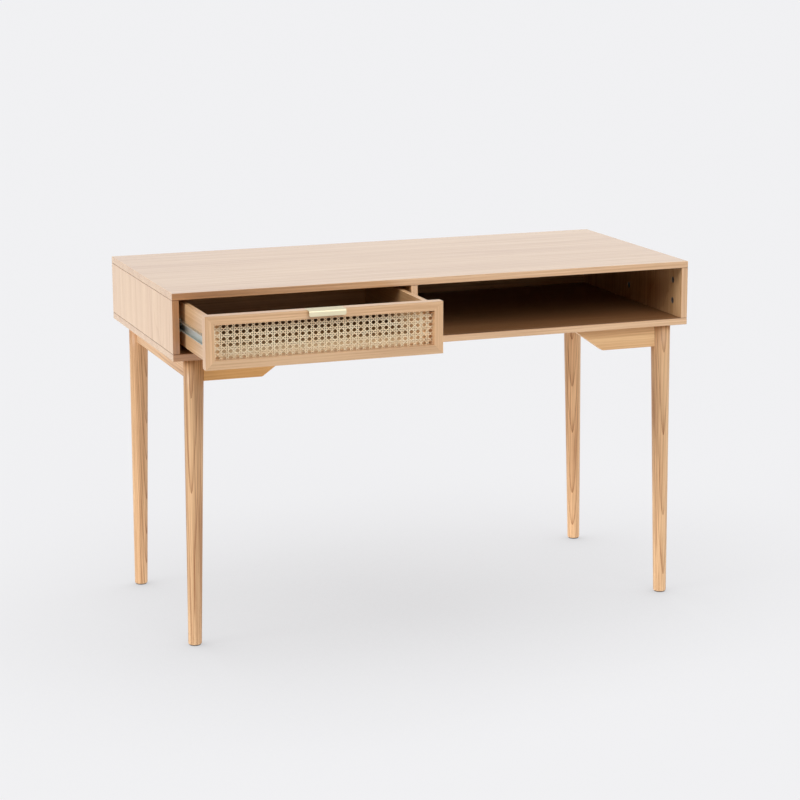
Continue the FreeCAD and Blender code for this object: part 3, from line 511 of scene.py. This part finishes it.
def moulded(name, colour):
    """Matt moulded plastic with a fine texture."""

    def paint(net):
        place = net.place()
        grit = net.noise(place, *PLASTIC_GRIT)
        cloud = net.noise(place, *PLASTIC_CLOUD)
        [pale] = toned(PLASTIC_PALE, colour)
        shade = net.blend(cloud, colour, pale)
        return {"Base Color": shade, "Normal": net.relief(grit),
                "Roughness": PLASTIC_ROUGH + GRIT_ROUGH * grit}

    return surface(name, paint)


def cane_finish(light, dark):
    """Glossy cane: pale skin with fibre lines and darker spots."""

    def paint(net):
        place = net.place()
        fibres = net.noise(place, *CANE_FIBRES)
        patches = net.noise(place, *CANE_PATCHES)
        shade = net.blend(FIBRE_TONE * fibres + PATCH_TONE * patches - CANE_CLEAN, light, dark)
        return {"Base Color": shade, "Normal": net.relief(fibres),
                "Roughness": CANE_ROUGH + FIBRE_ROUGH * fibres}

    return surface("cane_skin", paint)


def dress(material, *nodes):
    """Give CAD nodes a finer material in their own slots."""
    for name in nodes:
        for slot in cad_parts[name].material_slots:
            slot.material = material


# Pieces made by geometry nodes
class Grower(Net):
    """A geometry node tree with named inputs, which makes one piece."""

    def __init__(self, name, finish):
        super().__init__(bpy.data.node_groups.new(name, "GeometryNodeTree"))
        for way in ("OUTPUT", "INPUT"):
            self.tree.interface.new_socket("Geometry", in_out=way, socket_type="NodeSocketGeometry")
        self.start = self.add("NodeGroupInput").socket.node
        self.given = {}
        self.finish = finish

    def ask(self, name, kind, setting):
        """A named input of the tree and the value that this piece gives it."""
        asked = self.tree.interface.new_socket(name, in_out="INPUT", socket_type="NodeSocket" + kind)
        self.given[asked.identifier] = setting
        return Value(self, self.start.outputs[name])

    def spot(self):
        """X, Y and Z of each point."""
        return self.split(self.add("GeometryNodeInputPosition"))

    def lifted(self, shape, height):
        inputs = {"Geometry": shape, "Translation": self.join(0.0, 0.0, height)}
        return self.add("GeometryNodeTransform", None, inputs)

    def smooth(self, shape, faces=True):
        inputs = {"Geometry": shape, "Selection": faces}
        return self.add("GeometryNodeSetShadeSmooth", None, inputs)

    def at_places(self, shape):
        """A copy of the shape at each place, its +Z turned to the way that the place faces."""
        way = self.add("GeometryNodeInputNamedAttribute", {"data_type": "FLOAT_VECTOR"}, {"Name": "facing"})
        turn = self.add("FunctionNodeAlignRotationToVector", {"axis": "Z"}, {"Vector": way})
        start = Value(self, self.start.outputs["Geometry"])
        inputs = {"Points": start, "Instance": shape, "Rotation": turn}
        return self.add("GeometryNodeInstanceOnPoints", None, inputs)

    def bloom(self, shape, name, places=(), facing=()):
        """Realize the shape, paint it, and turn it into a plain mesh object."""
        paint = self.ask("Finish", "Material", self.finish)
        whole = self.add("GeometryNodeRealizeInstances", None, {0: shape})
        painted = self.add("GeometryNodeSetMaterial", None, {"Geometry": whole, "Material": paint})
        self.add("NodeGroupOutput", None, {0: painted})
        mesh = bpy.data.meshes.new(name)
        mesh.from_pydata([Vector(place) for place in places], [], [])
        if facing:
            ways = mesh.attributes.new("facing", "FLOAT_VECTOR", "POINT")
            ways.data.foreach_set("vector", [part for way in facing for part in way])
        piece = bpy.data.objects.new(name, mesh)
        bpy.context.scene.collection.objects.link(piece)
        modifier = piece.modifiers.new("Grow", "NODES")
        modifier.node_group = self.tree
        for identifier, setting in self.given.items():
            modifier[identifier] = setting
        bpy.context.view_layer.update()
        scene = bpy.context.evaluated_depsgraph_get()
        grown = bpy.data.meshes.new_from_object(piece.evaluated_get(scene))
        piece.modifiers.remove(modifier)
        piece.data = grown
        if not grown.polygons:
            raise RuntimeError(f"{name} came out empty")
        return piece


def settle(piece, body, slot, *nodes):
    """Let a finished piece ride on its body in place of the CAD nodes that it stands for."""
    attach(piece, body)
    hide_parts(*nodes)


def grow_leg(name, legs, foot, head, finish):
    """A turned leg: a round whose middle leans from foot to head and whose radius grows with it."""
    net = Grower(name + "_lathe", finish)
    base = net.ask("Foot", "Vector", foot)
    top = net.ask("Head", "Vector", head)
    foot_radius = net.ask("Foot Radius", "Float", legs.foot_radius)
    head_radius = net.ask("Head Radius", "Float", legs.head_radius)
    bevel = net.ask("Bevel", "Float", legs.bevel)
    round_bar = net.add("GeometryNodeMeshCylinder", {"fill_type": "NGON"}, {
        "Vertices": LEG_SIDES, "Side Segments": LEG_RINGS, "Radius": 1, "Depth": 1})
    x, y, z = net.spot()
    climb = (z + 0.5) ** LEG_CROWD
    rise = climb * (head[2] - foot[2])
    bevelled = net.maths("MAXIMUM", bevel - rise, 0)
    radius = foot_radius + climb * (head_radius - foot_radius) - bevelled
    axis = net.blend(climb, base, top, "VECTOR")
    around = net.join(x * radius, y * radius, 0.0)
    spot = net.add("ShaderNodeVectorMath", {"operation": "ADD"}, {0: axis, 1: around})
    turned = net.add("GeometryNodeSetPosition", None, {"Geometry": round_bar["Mesh"], "Position": spot})
    return net.bloom(net.smooth(turned, round_bar["Side"]), "turned_" + name)


def grow_cane(cane, middle, wide, tall, finish):
    """Woven cane: pairs up and across, single strands both ways on the slant, all cut to one sheet."""
    net = Grower("cane_loom", finish)
    pitch = net.ask("Pitch", "Float", cane.pitch)
    row = net.ask("Row", "Float", cane.row)
    strand = net.ask("Strand", "Float", cane.strand)
    thick = net.ask("Thickness", "Float", cane.thick)
    pair = net.ask("Pair", "Float", cane.pair)
    centre = net.ask("Middle", "Vector", middle)
    shift, lift = CANE_SHIFT
    columns = math.ceil(wide / cane.pitch / 2) + 1
    rows = math.ceil(tall / cane.row / 2) + 1
    half_wide, half_tall = columns * cane.pitch, rows * cane.row
    flat = thick / strand
    x, _, z = net.spot()
    across = x / pitch - shift
    up = z / row - lift
    swell = net.maths("SINE", across * math.pi) * net.maths("SINE", up * math.pi)
    cross = net.maths("COSINE", across * (2 * math.pi))
    past_side = net.maths("ABSOLUTE", x) > wide / 2
    past_end = net.maths("ABSOLUTE", z) > tall / 2
    gone = net.maths("MAXIMUM", past_side, past_end)

    def strands(run, length, first, step, count, wave):
        """Straight strands side by side, bent by the wave and cut off at the sheet's edge."""
        back, ahead = net.join(*[-part for part in run]), net.join(*run)
        line = net.add("GeometryNodeCurvePrimitiveLine", None, {"Start": back, "End": ahead})
        points = round(length / cane.step)
        fine = net.add("GeometryNodeResampleCurve", None, {"Curve": line, "Count": points})
        spots = net.add("GeometryNodeMeshLine", None, {
            "Count": count, "Start Location": net.join(*first), "Offset": net.join(*step)})
        many = net.add("GeometryNodeInstanceOnPoints", None, {"Points": spots, "Instance": fine})
        real = net.add("GeometryNodeRealizeInstances", None, {0: many})
        cut = net.add("GeometryNodeDeleteGeometry", {"domain": "POINT"}, {
            "Geometry": real, "Selection": gone})
        bent = net.join(0.0, wave * thick / flat, 0.0)
        return net.add("GeometryNodeSetPosition", None, {"Geometry": cut, "Offset": bent})

    laid = []
    next_column, next_row = (pitch, 0.0, 0.0), (0.0, 0.0, row)
    for side in (-0.5, 0.5):
        first = (pitch * (shift + 0.5 - columns) + pair * side, 0.0, 0.0)
        laid.append(strands((0.0, 0.0, half_tall), 2 * half_tall, first, next_column, 2 * columns,
                            swell * -PAIR_WAVE))
        first = (0.0, 0.0, row * (lift + 0.5 - rows) + pair * side)
        laid.append(strands((half_wide, 0.0, 0.0), 2 * half_wide, first, next_row, 2 * rows,
                            swell * PAIR_WAVE))
    slant = rows + 1
    length = 2 * slant * math.hypot(cane.pitch, cane.row)
    for way in (-1, 1):
        run = (pitch * slant, 0.0, row * (slant * way))
        first = (pitch * (shift + 0.5 - columns - slant), 0.0, row * lift)
        laid.append(strands(run, length, first, next_column, 2 * (columns + slant),
                            cross * (SLANT_WAVE * way)))
    loom = net.add("GeometryNodeJoinGeometry", None, {0: laid})
    ring = net.add("GeometryNodeCurvePrimitiveCircle", None, {
        "Resolution": CANE_SIDES, "Radius": strand / 2})
    tubes = net.add("GeometryNodeCurveToMesh", None, {
        "Curve": loom, "Profile Curve": ring, "Fill Caps": True})
    shape = net.add("GeometryNodeTransform", None, {
        "Geometry": tubes, "Translation": centre, "Scale": net.join(1.0, flat, 1.0)})
    return net.bloom(net.smooth(shape), "cane_weave")


def cross_head(net, radius, depth, dome, arm):
    """A round head on +Z, domed or flat, with a cross-shaped recess for the driver."""
    disc = net.add("GeometryNodeMeshCylinder", {"fill_type": "TRIANGLE_FAN"}, {
        "Vertices": HEAD_SIDES, "Side Segments": 2, "Fill Segments": 3, "Radius": radius, "Depth": depth})
    x, y, z = net.spot()
    out = (x * x + y * y) / (radius * radius)
    fall = net.join(0.0, 0.0, -((z > 0.0) * out * dome))
    head = net.add("GeometryNodeSetPosition", None, {"Geometry": disc["Mesh"], "Offset": fall})
    long, narrow = arm * 2, arm * RECESS_WIDTH
    tools = []
    for size in ((long, narrow, depth), (narrow, long, depth)):
        bar = net.add("GeometryNodeMeshCube", None, {"Size": net.join(*size)})
        tools.append(net.lifted(bar["Mesh"], depth * RECESS_LIFT))
    cross = net.add("GeometryNodeMeshBoolean", {"operation": "UNION"}, {"Mesh 2": tools})
    inputs = {"Mesh 1": head, "Mesh 2": cross}
    return net.add("GeometryNodeMeshBoolean", {"operation": "DIFFERENCE"}, inputs)


def grow_screws(name, places, facing, finish, kind="board"):
    """Screws of one kind, whose heads sit on the places and face outwards."""
    net = Grower(name + "_maker", finish)
    radius, depth, dome, arm, thick, length = (
        net.ask(label, "Float", size * MM) for label, size in zip(SCREW_SIZES, SCREWS[kind]))
    head = net.lifted(cross_head(net, radius, depth, dome, arm), depth / 2)
    stem = net.add("GeometryNodeMeshCone", None, {
        "Vertices": SHANK_SIDES, "Radius Top": thick, "Radius Bottom": thick * SHANK_TIP, "Depth": length})
    shank = net.lifted(stem["Mesh"], -length)
    screw = net.add("GeometryNodeJoinGeometry", None, {0: [head, shank]})
    return net.bloom(net.at_places(screw), name, places, facing)


def grow_cams(name, places, facing, sizes, finish):
    """Cam drums, whose crossed faces look out of the boards."""
    net = Grower(name + "_maker", finish)
    radius = net.ask("Radius", "Float", sizes.cam_radius)
    depth = net.ask("Depth", "Float", sizes.cam_depth)
    arm = net.ask("Recess", "Float", sizes.cam_recess)
    drum = net.lifted(cross_head(net, radius, depth, CAM_DOME, arm), depth * -0.5)
    return net.bloom(net.at_places(drum), name, places, facing)


def grow_balls(name, places, size, finish):
    """Bearing balls at their places in the cage."""
    net = Grower(name + "_maker", finish)
    radius = net.ask("Radius", "Float", size)
    ball = net.add("GeometryNodeMeshUVSphere", None, {
        "Segments": BALL_SIDES, "Rings": BALL_RINGS, "Radius": radius})
    shape = net.smooth(ball["Mesh"])
    return net.bloom(net.at_places(shape), name, places, [UP] * len(places))


# Operators
class DESK_OT_case_boards(bpy.types.Operator):
    """Veneer the boards of the case and lip their front edges"""

    bl_idname = "desk.case_boards"
    bl_label = "Case Boards"

    def execute(self, context):
        wood = context.scene.desk_wood
        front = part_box("top_panel")[0].y
        seams = [corner.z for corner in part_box("left_side_panel")]
        # Painted shade inside the open bay, from just behind the front edges back to the back panel
        low = Vector((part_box("left_side_panel")[1].x, front + BAY_SHADE_INSET, seams[0]))
        high = Vector((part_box("right_side_panel")[0].x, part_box("back_panel")[0].y, seams[1]))
        hollow = (low, high, wood.bay, wood.bay_shade_depth, BAY_SHADE_FADE)
        face = (wood.face_light, wood.face_dark)
        # The front edges' left tones are painted shade of the open drawer
        finish = {
            "lacquer": VENEER_LACQUER, "seams": seams, "hollow": hollow,
            "edge": ((wood.shaded_edge_pale, wood.shaded_edge_streak), (wood.edge_light, wood.edge_dark), front)}
        dress(board(wood, "veneer_along", face, "X", **finish), "top_panel", "bottom_panel")
        dress(board(wood, "veneer_upright", face, "Z", **finish), "right_side_panel", "centre_divider")
        # Painted light: the left side panel's veneer paler, as if more strongly lit from the left
        pale = toned(LEFT_SIDE_PAINTED_LIGHT, *face)
        dress(board(wood, "veneer_upright_left", pale, "Z", **finish), "left_side_panel")
        dress(board(wood, "veneer_back", face, "X", hollow=hollow), "back_panel")
        return {"FINISHED"}


class DESK_OT_turned_legs(bpy.types.Operator):
    """Turn the four legs, each with its own flame figure"""

    bl_idname = "desk.turned_legs"
    bl_label = "Turned Legs"

    def execute(self, context):
        wood, legs = context.scene.desk_wood, context.scene.desk_legs
        for name, (pith, lean, tone) in LEGS.items():
            low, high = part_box(name)
            side = 1 if low.x > 0 else -1
            middle = (low.y + high.y) / 2
            foot = (side * legs.foot_out, middle, low.z)
            head = (side * legs.head_out, middle, high.z)
            heart = [-start - offset - PITH_LEVEL * slant for start, offset, slant in zip(foot, pith, lean)]
            # Painted light and shade: each leg's oak is made paler or deeper by its own tone
            tones = toned(tone, wood.leg_light, wood.leg_dark)
            finish = oak("oak_" + name, tones, "Z", wood.leg_ring, wood.leg_figure, (heart, lean), LEG_WANDER)
            settle(grow_leg(name, legs, foot, head, finish), "case", "oak_leg", name)
        return {"FINISHED"}


class DESK_OT_leg_frame(bpy.types.Operator):
    """Finish the rails, brackets, tenons and glides of the leg frame"""

    bl_idname = "desk.leg_frame"
    bl_label = "Leg Frame"

    def execute(self, context):
        wood = context.scene.desk_wood
        rails = board(wood, "oak_rail", (wood.leg_light, wood.leg_dark), "Y")
        # Painted light and shade: left brackets deeper gold as if in the drawer's shade, right brackets paler
        # as if lit
        left = board(wood, "oak_bracket", (wood.bracket_painted_light, wood.bracket_painted_streaks), "X")
        painted_lit_bracket = toned(RIGHT_BRACKET_PAINTED_LIGHT, wood.face_light, wood.face_dark)
        right = board(wood, "oak_bracket_right", painted_lit_bracket, "X")
        dress(rails, "left_side_rail", "right_side_rail")
        dress(left, "front_left_bracket", "rear_left_bracket", "frame_tenons")
        dress(right, "front_right_bracket", "rear_right_bracket")
        dress(moulded("glide_plastic", context.scene.desk_metal.plastic), "foot_glides")
        return {"FINISHED"}


class DESK_OT_drawer_boards(bpy.types.Operator):
    """Finish the mitred front and the box of the drawer"""

    bl_idname = "desk.drawer_boards"
    bl_label = "Drawer Boards"

    def execute(self, context):
        wood = context.scene.desk_wood
        front = (wood.edge_light, wood.edge_dark)
        # Painted shade: the front's low rail deeper than the rest of the front
        deeper = toned(LOW_RAIL_PAINTED_SHADE, *front)
        rail = board(wood, "front_rail_oak", front, "X", lacquer=DRAWER_LACQUER)
        low_rail_painted_shade = board(wood, "front_low_oak", deeper, "X", lacquer=DRAWER_LACQUER)
        stiles = board(wood, "front_stile_oak", front, "Z", lacquer=DRAWER_LACQUER)
        dress(rail, "front_top_rail")
        dress(low_rail_painted_shade, "front_bottom_rail")
        dress(stiles, "front_left_stile", "front_right_stile")
        # Painted shade inside the drawer box, growing further behind its front
        left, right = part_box("drawer_left_side")[1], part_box("drawer_right_side")[0]
        low = Vector((left.x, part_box("front_top_rail")[0].y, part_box("drawer_bottom")[1].z))
        high = Vector((right.x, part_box("drawer_back")[0].y, left.z))
        inside = (low, high, wood.deep)
        # Painted light: bottom and corner blocks paler as if lit; the bottom also gets painted shade further
        # back
        box, pale = (wood.drawer_light, wood.drawer_dark), (wood.bottom_painted_light, wood.bottom_painted_streaks)
        sides = board(wood, "drawer_side_wood", box, "Y", lacquer=DRAWER_LACQUER,
                      hollow=(*inside, wood.depth, DRAWER_SHADE_FADE))
        back = board(wood, "drawer_back_wood", box, "X", hollow=(*inside, wood.back_shade_depth, DRAWER_SHADE_FADE))
        blocks = board(wood, "corner_post_wood", pale, "Z")
        bottom = board(wood, "drawer_bottom_wood", pale, "X", hollow=(*inside, wood.bottom_shade_depth, BOTTOM_SHADE_FADE))
        dress(sides, "drawer_left_side", "drawer_right_side")
        dress(back, "drawer_back")
        dress(blocks, "left_corner_block", "right_corner_block")
        dress(bottom, "drawer_bottom")
        return {"FINISHED"}


class DESK_OT_cane_weave(bpy.types.Operator):
    """Weave the cane of the drawer front"""

    bl_idname = "desk.cane_weave"
    bl_label = "Cane Weave"

    def execute(self, context):
        cane = context.scene.desk_cane
        low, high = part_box("cane_panel")
        size = high - low
        finish = cane_finish(cane.light, cane.dark)
        weave = grow_cane(cane, (low + high) / 2, size.x, size.z, finish)
        settle(weave, "drawer", "cane", "cane_panel")
        return {"FINISHED"}


class DESK_OT_slides(bpy.types.Operator):
    """Plate the ball-bearing slides and set their balls"""

    bl_idname = "desk.slides"
    bl_label = "Slides"

    def execute(self, context):
        fittings = context.scene.desk_metal
        plated = metal("zinc_plating", fittings.steel, "Y")
        bright = metal("ball_steel", fittings.bright, "Z")
        radius = fittings.ball
        for side in ("left", "right"):
            dress(plated, f"{side}_slide_case_member", f"{side}_slide_drawer_member", f"{side}_ball_cage")
            low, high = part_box(f"{side}_slide_balls")
            line = (low.x + high.x) / 2
            step = (high.y - low.y - 2 * radius) / (BALL_COUNT - 1)
            places = [(line, low.y + radius + count * step, level)
                      for count in range(BALL_COUNT) for level in (low.z + radius, high.z - radius)]
            balls = grow_balls(f"{side}_bearing_balls", places, radius, bright)
            settle(balls, f"{side}_cage", "polished_steel", f"{side}_slide_balls")
        return {"FINISHED"}


class DESK_OT_pull(bpy.types.Operator):
    """Give the bent pull and its screws their satin brass"""

    bl_idname = "desk.pull"
    bl_label = "Pull"

    def execute(self, context):
        brass = metal("pull_brass", context.scene.desk_metal.brass, "X")
        dress(brass, "drawer_pull")
        low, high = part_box("pull_screws")
        middle, seat = (low.y + high.y) / 2, high.z - PULL_SCREW_SEAT
        places = [(x, middle, seat) for x in (low.x + PULL_SCREW_EDGE, high.x - PULL_SCREW_EDGE)]
        screws = grow_screws("pull_cross_screws", places, [UP] * len(places), brass, "pull")
        settle(screws, "drawer", "satin_brass", "pull_screws")
        return {"FINISHED"}


class DESK_OT_cam_fittings(bpy.types.Operator):
    """Set the cam locks, plate the bolts and inserts, and give the dowels their beech"""

    bl_idname = "desk.cam_fittings"
    bl_label = "Cam Fittings"

    def execute(self, context):
        fittings = context.scene.desk_metal
        low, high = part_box("cam_locks")
        rows = (low.y + CAM_EDGE, (low.y + high.y) / 2, high.y - CAM_EDGE)
        levels = (low.z + CAM_EDGE, high.z - CAM_EDGE)
        faces = ((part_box("left_side_panel")[1].x - CAM_INSET, 1, rows),
                 (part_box("right_side_panel")[0].x + CAM_INSET, -1, rows),
                 (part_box("centre_divider")[0].x + CAM_INSET, -1, rows[::2]))
        places = [(x, y, z) for x, way, spots in faces for y in spots for z in levels]
        facing = [(way, 0, 0) for x, way, spots in faces for y in spots for z in levels]
        cast = metal("cam_zinc", fittings.zinc, "X")
        settle(grow_cams("cam_drums", places, facing, fittings, cast), "case", "cast_zinc", "cam_locks")
        plated = metal("bolt_plating", fittings.steel, "Z")
        dress(plated, "cam_bolts", "frame_bolts", "threaded_inserts")
        wood = context.scene.desk_wood
        pegs = board(wood, "dowel_beech", (wood.drawer_light, wood.drawer_dark), "Z")
        dress(pegs, "case_dowels", "drawer_back_dowels")
        return {"FINISHED"}


class DESK_OT_screws(bpy.types.Operator):
    """Drive the cross-head screws of the slides, the drawer bottom and the corner blocks"""

    bl_idname = "desk.screws"
    bl_label = "Screws"

    def execute(self, context):
        plated = metal("screw_plating", context.scene.desk_metal.steel, "Z")
        for body, reach in (("case", 1), ("drawer", -1)):
            node = f"{body}_slide_screws"
            low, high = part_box(node)
            level = (low.z + high.z) / 2
            places, facing = [], []
            for side, way in (("left", reach), ("right", -reach)):
                start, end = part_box(f"{side}_slide_{body}_member")
                wall = start.x + SLIDE_SHEET if way > 0 else end.x - SLIDE_SHEET
                for share in SLIDE_SCREWS:
                    places.append((wall, start.y + share * (end.y - start.y), level))
                    facing.append((way, 0, 0))
            self.drive(f"{body}_cross_screws", places, facing, plated, body, node)
        low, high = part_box("bottom_screws")
        middle, seat = (low.y + high.y) / 2, low.z + SCREW_SEAT
        places = [(x, middle, seat)
                  for x in (low.x + SCREW_EDGE, (low.x + high.x) / 2, high.x - SCREW_EDGE)]
        self.drive("bottom_cross_screws", places, [DOWN] * len(places), plated, "drawer", "bottom_screws")
        low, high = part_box("corner_block_screws")
        places = [(x, high.y - SCREW_SEAT, z) for x in (low.x + SCREW_EDGE, high.x - SCREW_EDGE)
                  for z in (low.z + SCREW_EDGE_UP, high.z - SCREW_EDGE_UP)]
        self.drive("corner_cross_screws", places, [BACKWARDS] * len(places), plated, "drawer",
                   "corner_block_screws", "block")
        return {"FINISHED"}

    def drive(self, name, places, facing, finish, body, node, kind="board"):
        """Screws of one kind in place of a node."""
        settle(grow_screws(name, places, facing, finish, kind), body, "plated_steel", node)


class DESK_OT_stage(bpy.types.Operator):
    """Lay the floor, hang the lights and set up the camera"""

    bl_idname = "desk.stage"
    bl_label = "Stage"

    def execute(self, context):
        scene = context.scene
        look = scene.desk_stage
        scene.view_settings.view_transform = "Standard"
        self.floor(scene, look)
        self.sky(scene, look)
        for name, (towards, spread) in LAMPS.items():
            self.lamp(scene, name + "_light", getattr(look, name), towards, spread)
        self.camera(scene, look)
        return {"FINISHED"}

    def floor(self, scene, look):
        """A pale floor that shows a soft shadow and can be seen through from below."""
        corners = [(x * FLOOR_REACH, y * FLOOR_REACH, 0) for x, y in ((-1, -1), (1, -1), (1, 1), (-1, 1))]
        mesh = bpy.data.meshes.new("floor")
        mesh.from_pydata(corners, [], [(0, 1, 2, 3)])
        floor = bpy.data.objects.new("floor", mesh)
        scene.collection.objects.link(floor)
        material = bpy.data.materials.new("pale_floor")
        net = cleared(material)
        away = net.add("ShaderNodeVectorMath", {"operation": "LENGTH"}, {0: net.place()}, "Value")
        lit = look.bounce * (1 - net.ease(away, *BOUNCE_FADE))
        bounce = net.add("ShaderNodeEmission", None, {"Color": lit, "Strength": 1})
        open_share = net.add("ShaderNodeAmbientOcclusion", {"samples": SHADOW_SAMPLES}, {
            "Distance": SHADOW_REACH, "Normal": net.join(*SHADOW_LEAN)}, "AO")
        soft = net.blend(open_share, look.hidden, look.ground)
        glow = net.add("ShaderNodeEmission", None, {"Color": soft, "Strength": 1})
        painted = net.add("ShaderNodeBsdfDiffuse", None, {"Color": FLOOR_PAINT})
        shaded = self.mixed(net, look.shade, glow, painted)
        above = self.mixed(net, self.seen(net), bounce, shaded)
        below = net.add("ShaderNodeNewGeometry", None, None, "Backfacing")
        whole = self.mixed(net, below, above, net.add("ShaderNodeBsdfTransparent"))
        net.add("ShaderNodeOutputMaterial", None, {"Surface": whole})
        mesh.materials.append(material)

    def seen(self, net):
        """1 for what the camera sees, straight, mirrored or through glass, and 0 for light on the object."""
        path = net.add("ShaderNodeLightPath")
        straight = net.maths("MAXIMUM", path["Is Camera Ray"], path["Is Glossy Ray"])
        return net.maths("MAXIMUM", straight, path["Is Transmission Ray"])

    def mixed(self, net, share, first, second):
        return net.add("ShaderNodeMixShader", None, {0: share, 1: first, 2: second})

    def sky(self, scene, look):
        """Light from above, where the camera sees only the floor's colour."""
        world = bpy.data.worlds.new("studio")
        net = cleared(world)
        height = net.split(net.add("ShaderNodeTexCoord", None, None, "Generated"))[2]
        level = look.horizon + (look.zenith - look.horizon) * net.ease(height, *SKY_RISE)
        light = net.add("ShaderNodeBackground", None, {"Color": level, "Strength": 1})
        view = net.add("ShaderNodeBackground", None, {"Color": (*look.ground, 1), "Strength": 1})
        whole = self.mixed(net, self.seen(net), light, view)
        net.add("ShaderNodeOutputWorld", None, {"Surface": whole})
        scene.world = world

    def lamp(self, scene, name, strength, towards, spread):
        """A broad, even light from one direction."""
        light = bpy.data.lights.new(name, "SUN")
        light.energy = strength
        light.angle = math.radians(spread)
        lamp = bpy.data.objects.new(name, light)
        lamp.rotation_euler = Vector(towards).to_track_quat("Z", "Y").to_euler()
        scene.collection.objects.link(lamp)

    def camera(self, scene, look):
        """The viewpoint of the photograph."""
        turn, tilt, roll = (math.radians(angle) for angle in CAMERA_TURNS)
        ahead = Vector((math.sin(turn) * math.cos(tilt), math.cos(turn) * math.cos(tilt), math.sin(tilt)))
        level = Vector((math.cos(turn), -math.sin(turn), 0))
        upright = level.cross(ahead)
        right = math.cos(roll) * level + math.sin(roll) * upright
        above = math.cos(roll) * upright - math.sin(roll) * level
        data = bpy.data.cameras.new("camera")
        data.lens = look.lens
        data.sensor_width = SENSOR_WIDTH
        camera = bpy.data.objects.new("camera", data)
        axes = Matrix((right, above, -ahead)).transposed().to_4x4()
        camera.matrix_world = Matrix.Translation(CAMERA_PLACE) @ axes
        scene.collection.objects.link(camera)
        scene.camera = camera


OPERATORS = (
    DESK_OT_case_boards, DESK_OT_turned_legs, DESK_OT_leg_frame, DESK_OT_drawer_boards, DESK_OT_cane_weave,
    DESK_OT_slides, DESK_OT_pull, DESK_OT_cam_fittings, DESK_OT_screws, DESK_OT_stage,
)
GROUPS = {
    "desk_wood": DeskWood, "desk_legs": DeskLegs, "desk_cane": DeskCane, "desk_metal": DeskMetal,
    "desk_stage": DeskStage,
}


class DESK_PT_looks(bpy.types.Panel):
    """Sizes, colours and steps of the desk's looks"""

    bl_idname = "DESK_PT_looks"
    bl_label = "Desk"
    bl_space_type = "VIEW_3D"
    bl_region_type = "UI"
    bl_category = "Desk"

    def draw(self, context):
        for operator in OPERATORS:
            self.layout.operator(operator.bl_idname)
        for name, group in GROUPS.items():
            box = self.layout.box()
            box.label(text=group.__doc__)
            for prop in group.__annotations__:
                box.prop(getattr(context.scene, name), prop)


CLASSES = (*GROUPS.values(), *OPERATORS, DESK_PT_looks)


def register():
    for item in CLASSES:
        bpy.utils.register_class(item)
    for name, group in GROUPS.items():
        setattr(bpy.types.Scene, name, bpy.props.PointerProperty(type=group))


def unregister():
    for name in GROUPS:
        delattr(bpy.types.Scene, name)
    for item in reversed(CLASSES):
        bpy.utils.unregister_class(item)


def main():
    register()
    for operator in OPERATORS:
        getattr(bpy.ops.desk, operator.bl_idname.split(".")[1])()


if __name__ == "__main__":
    main()
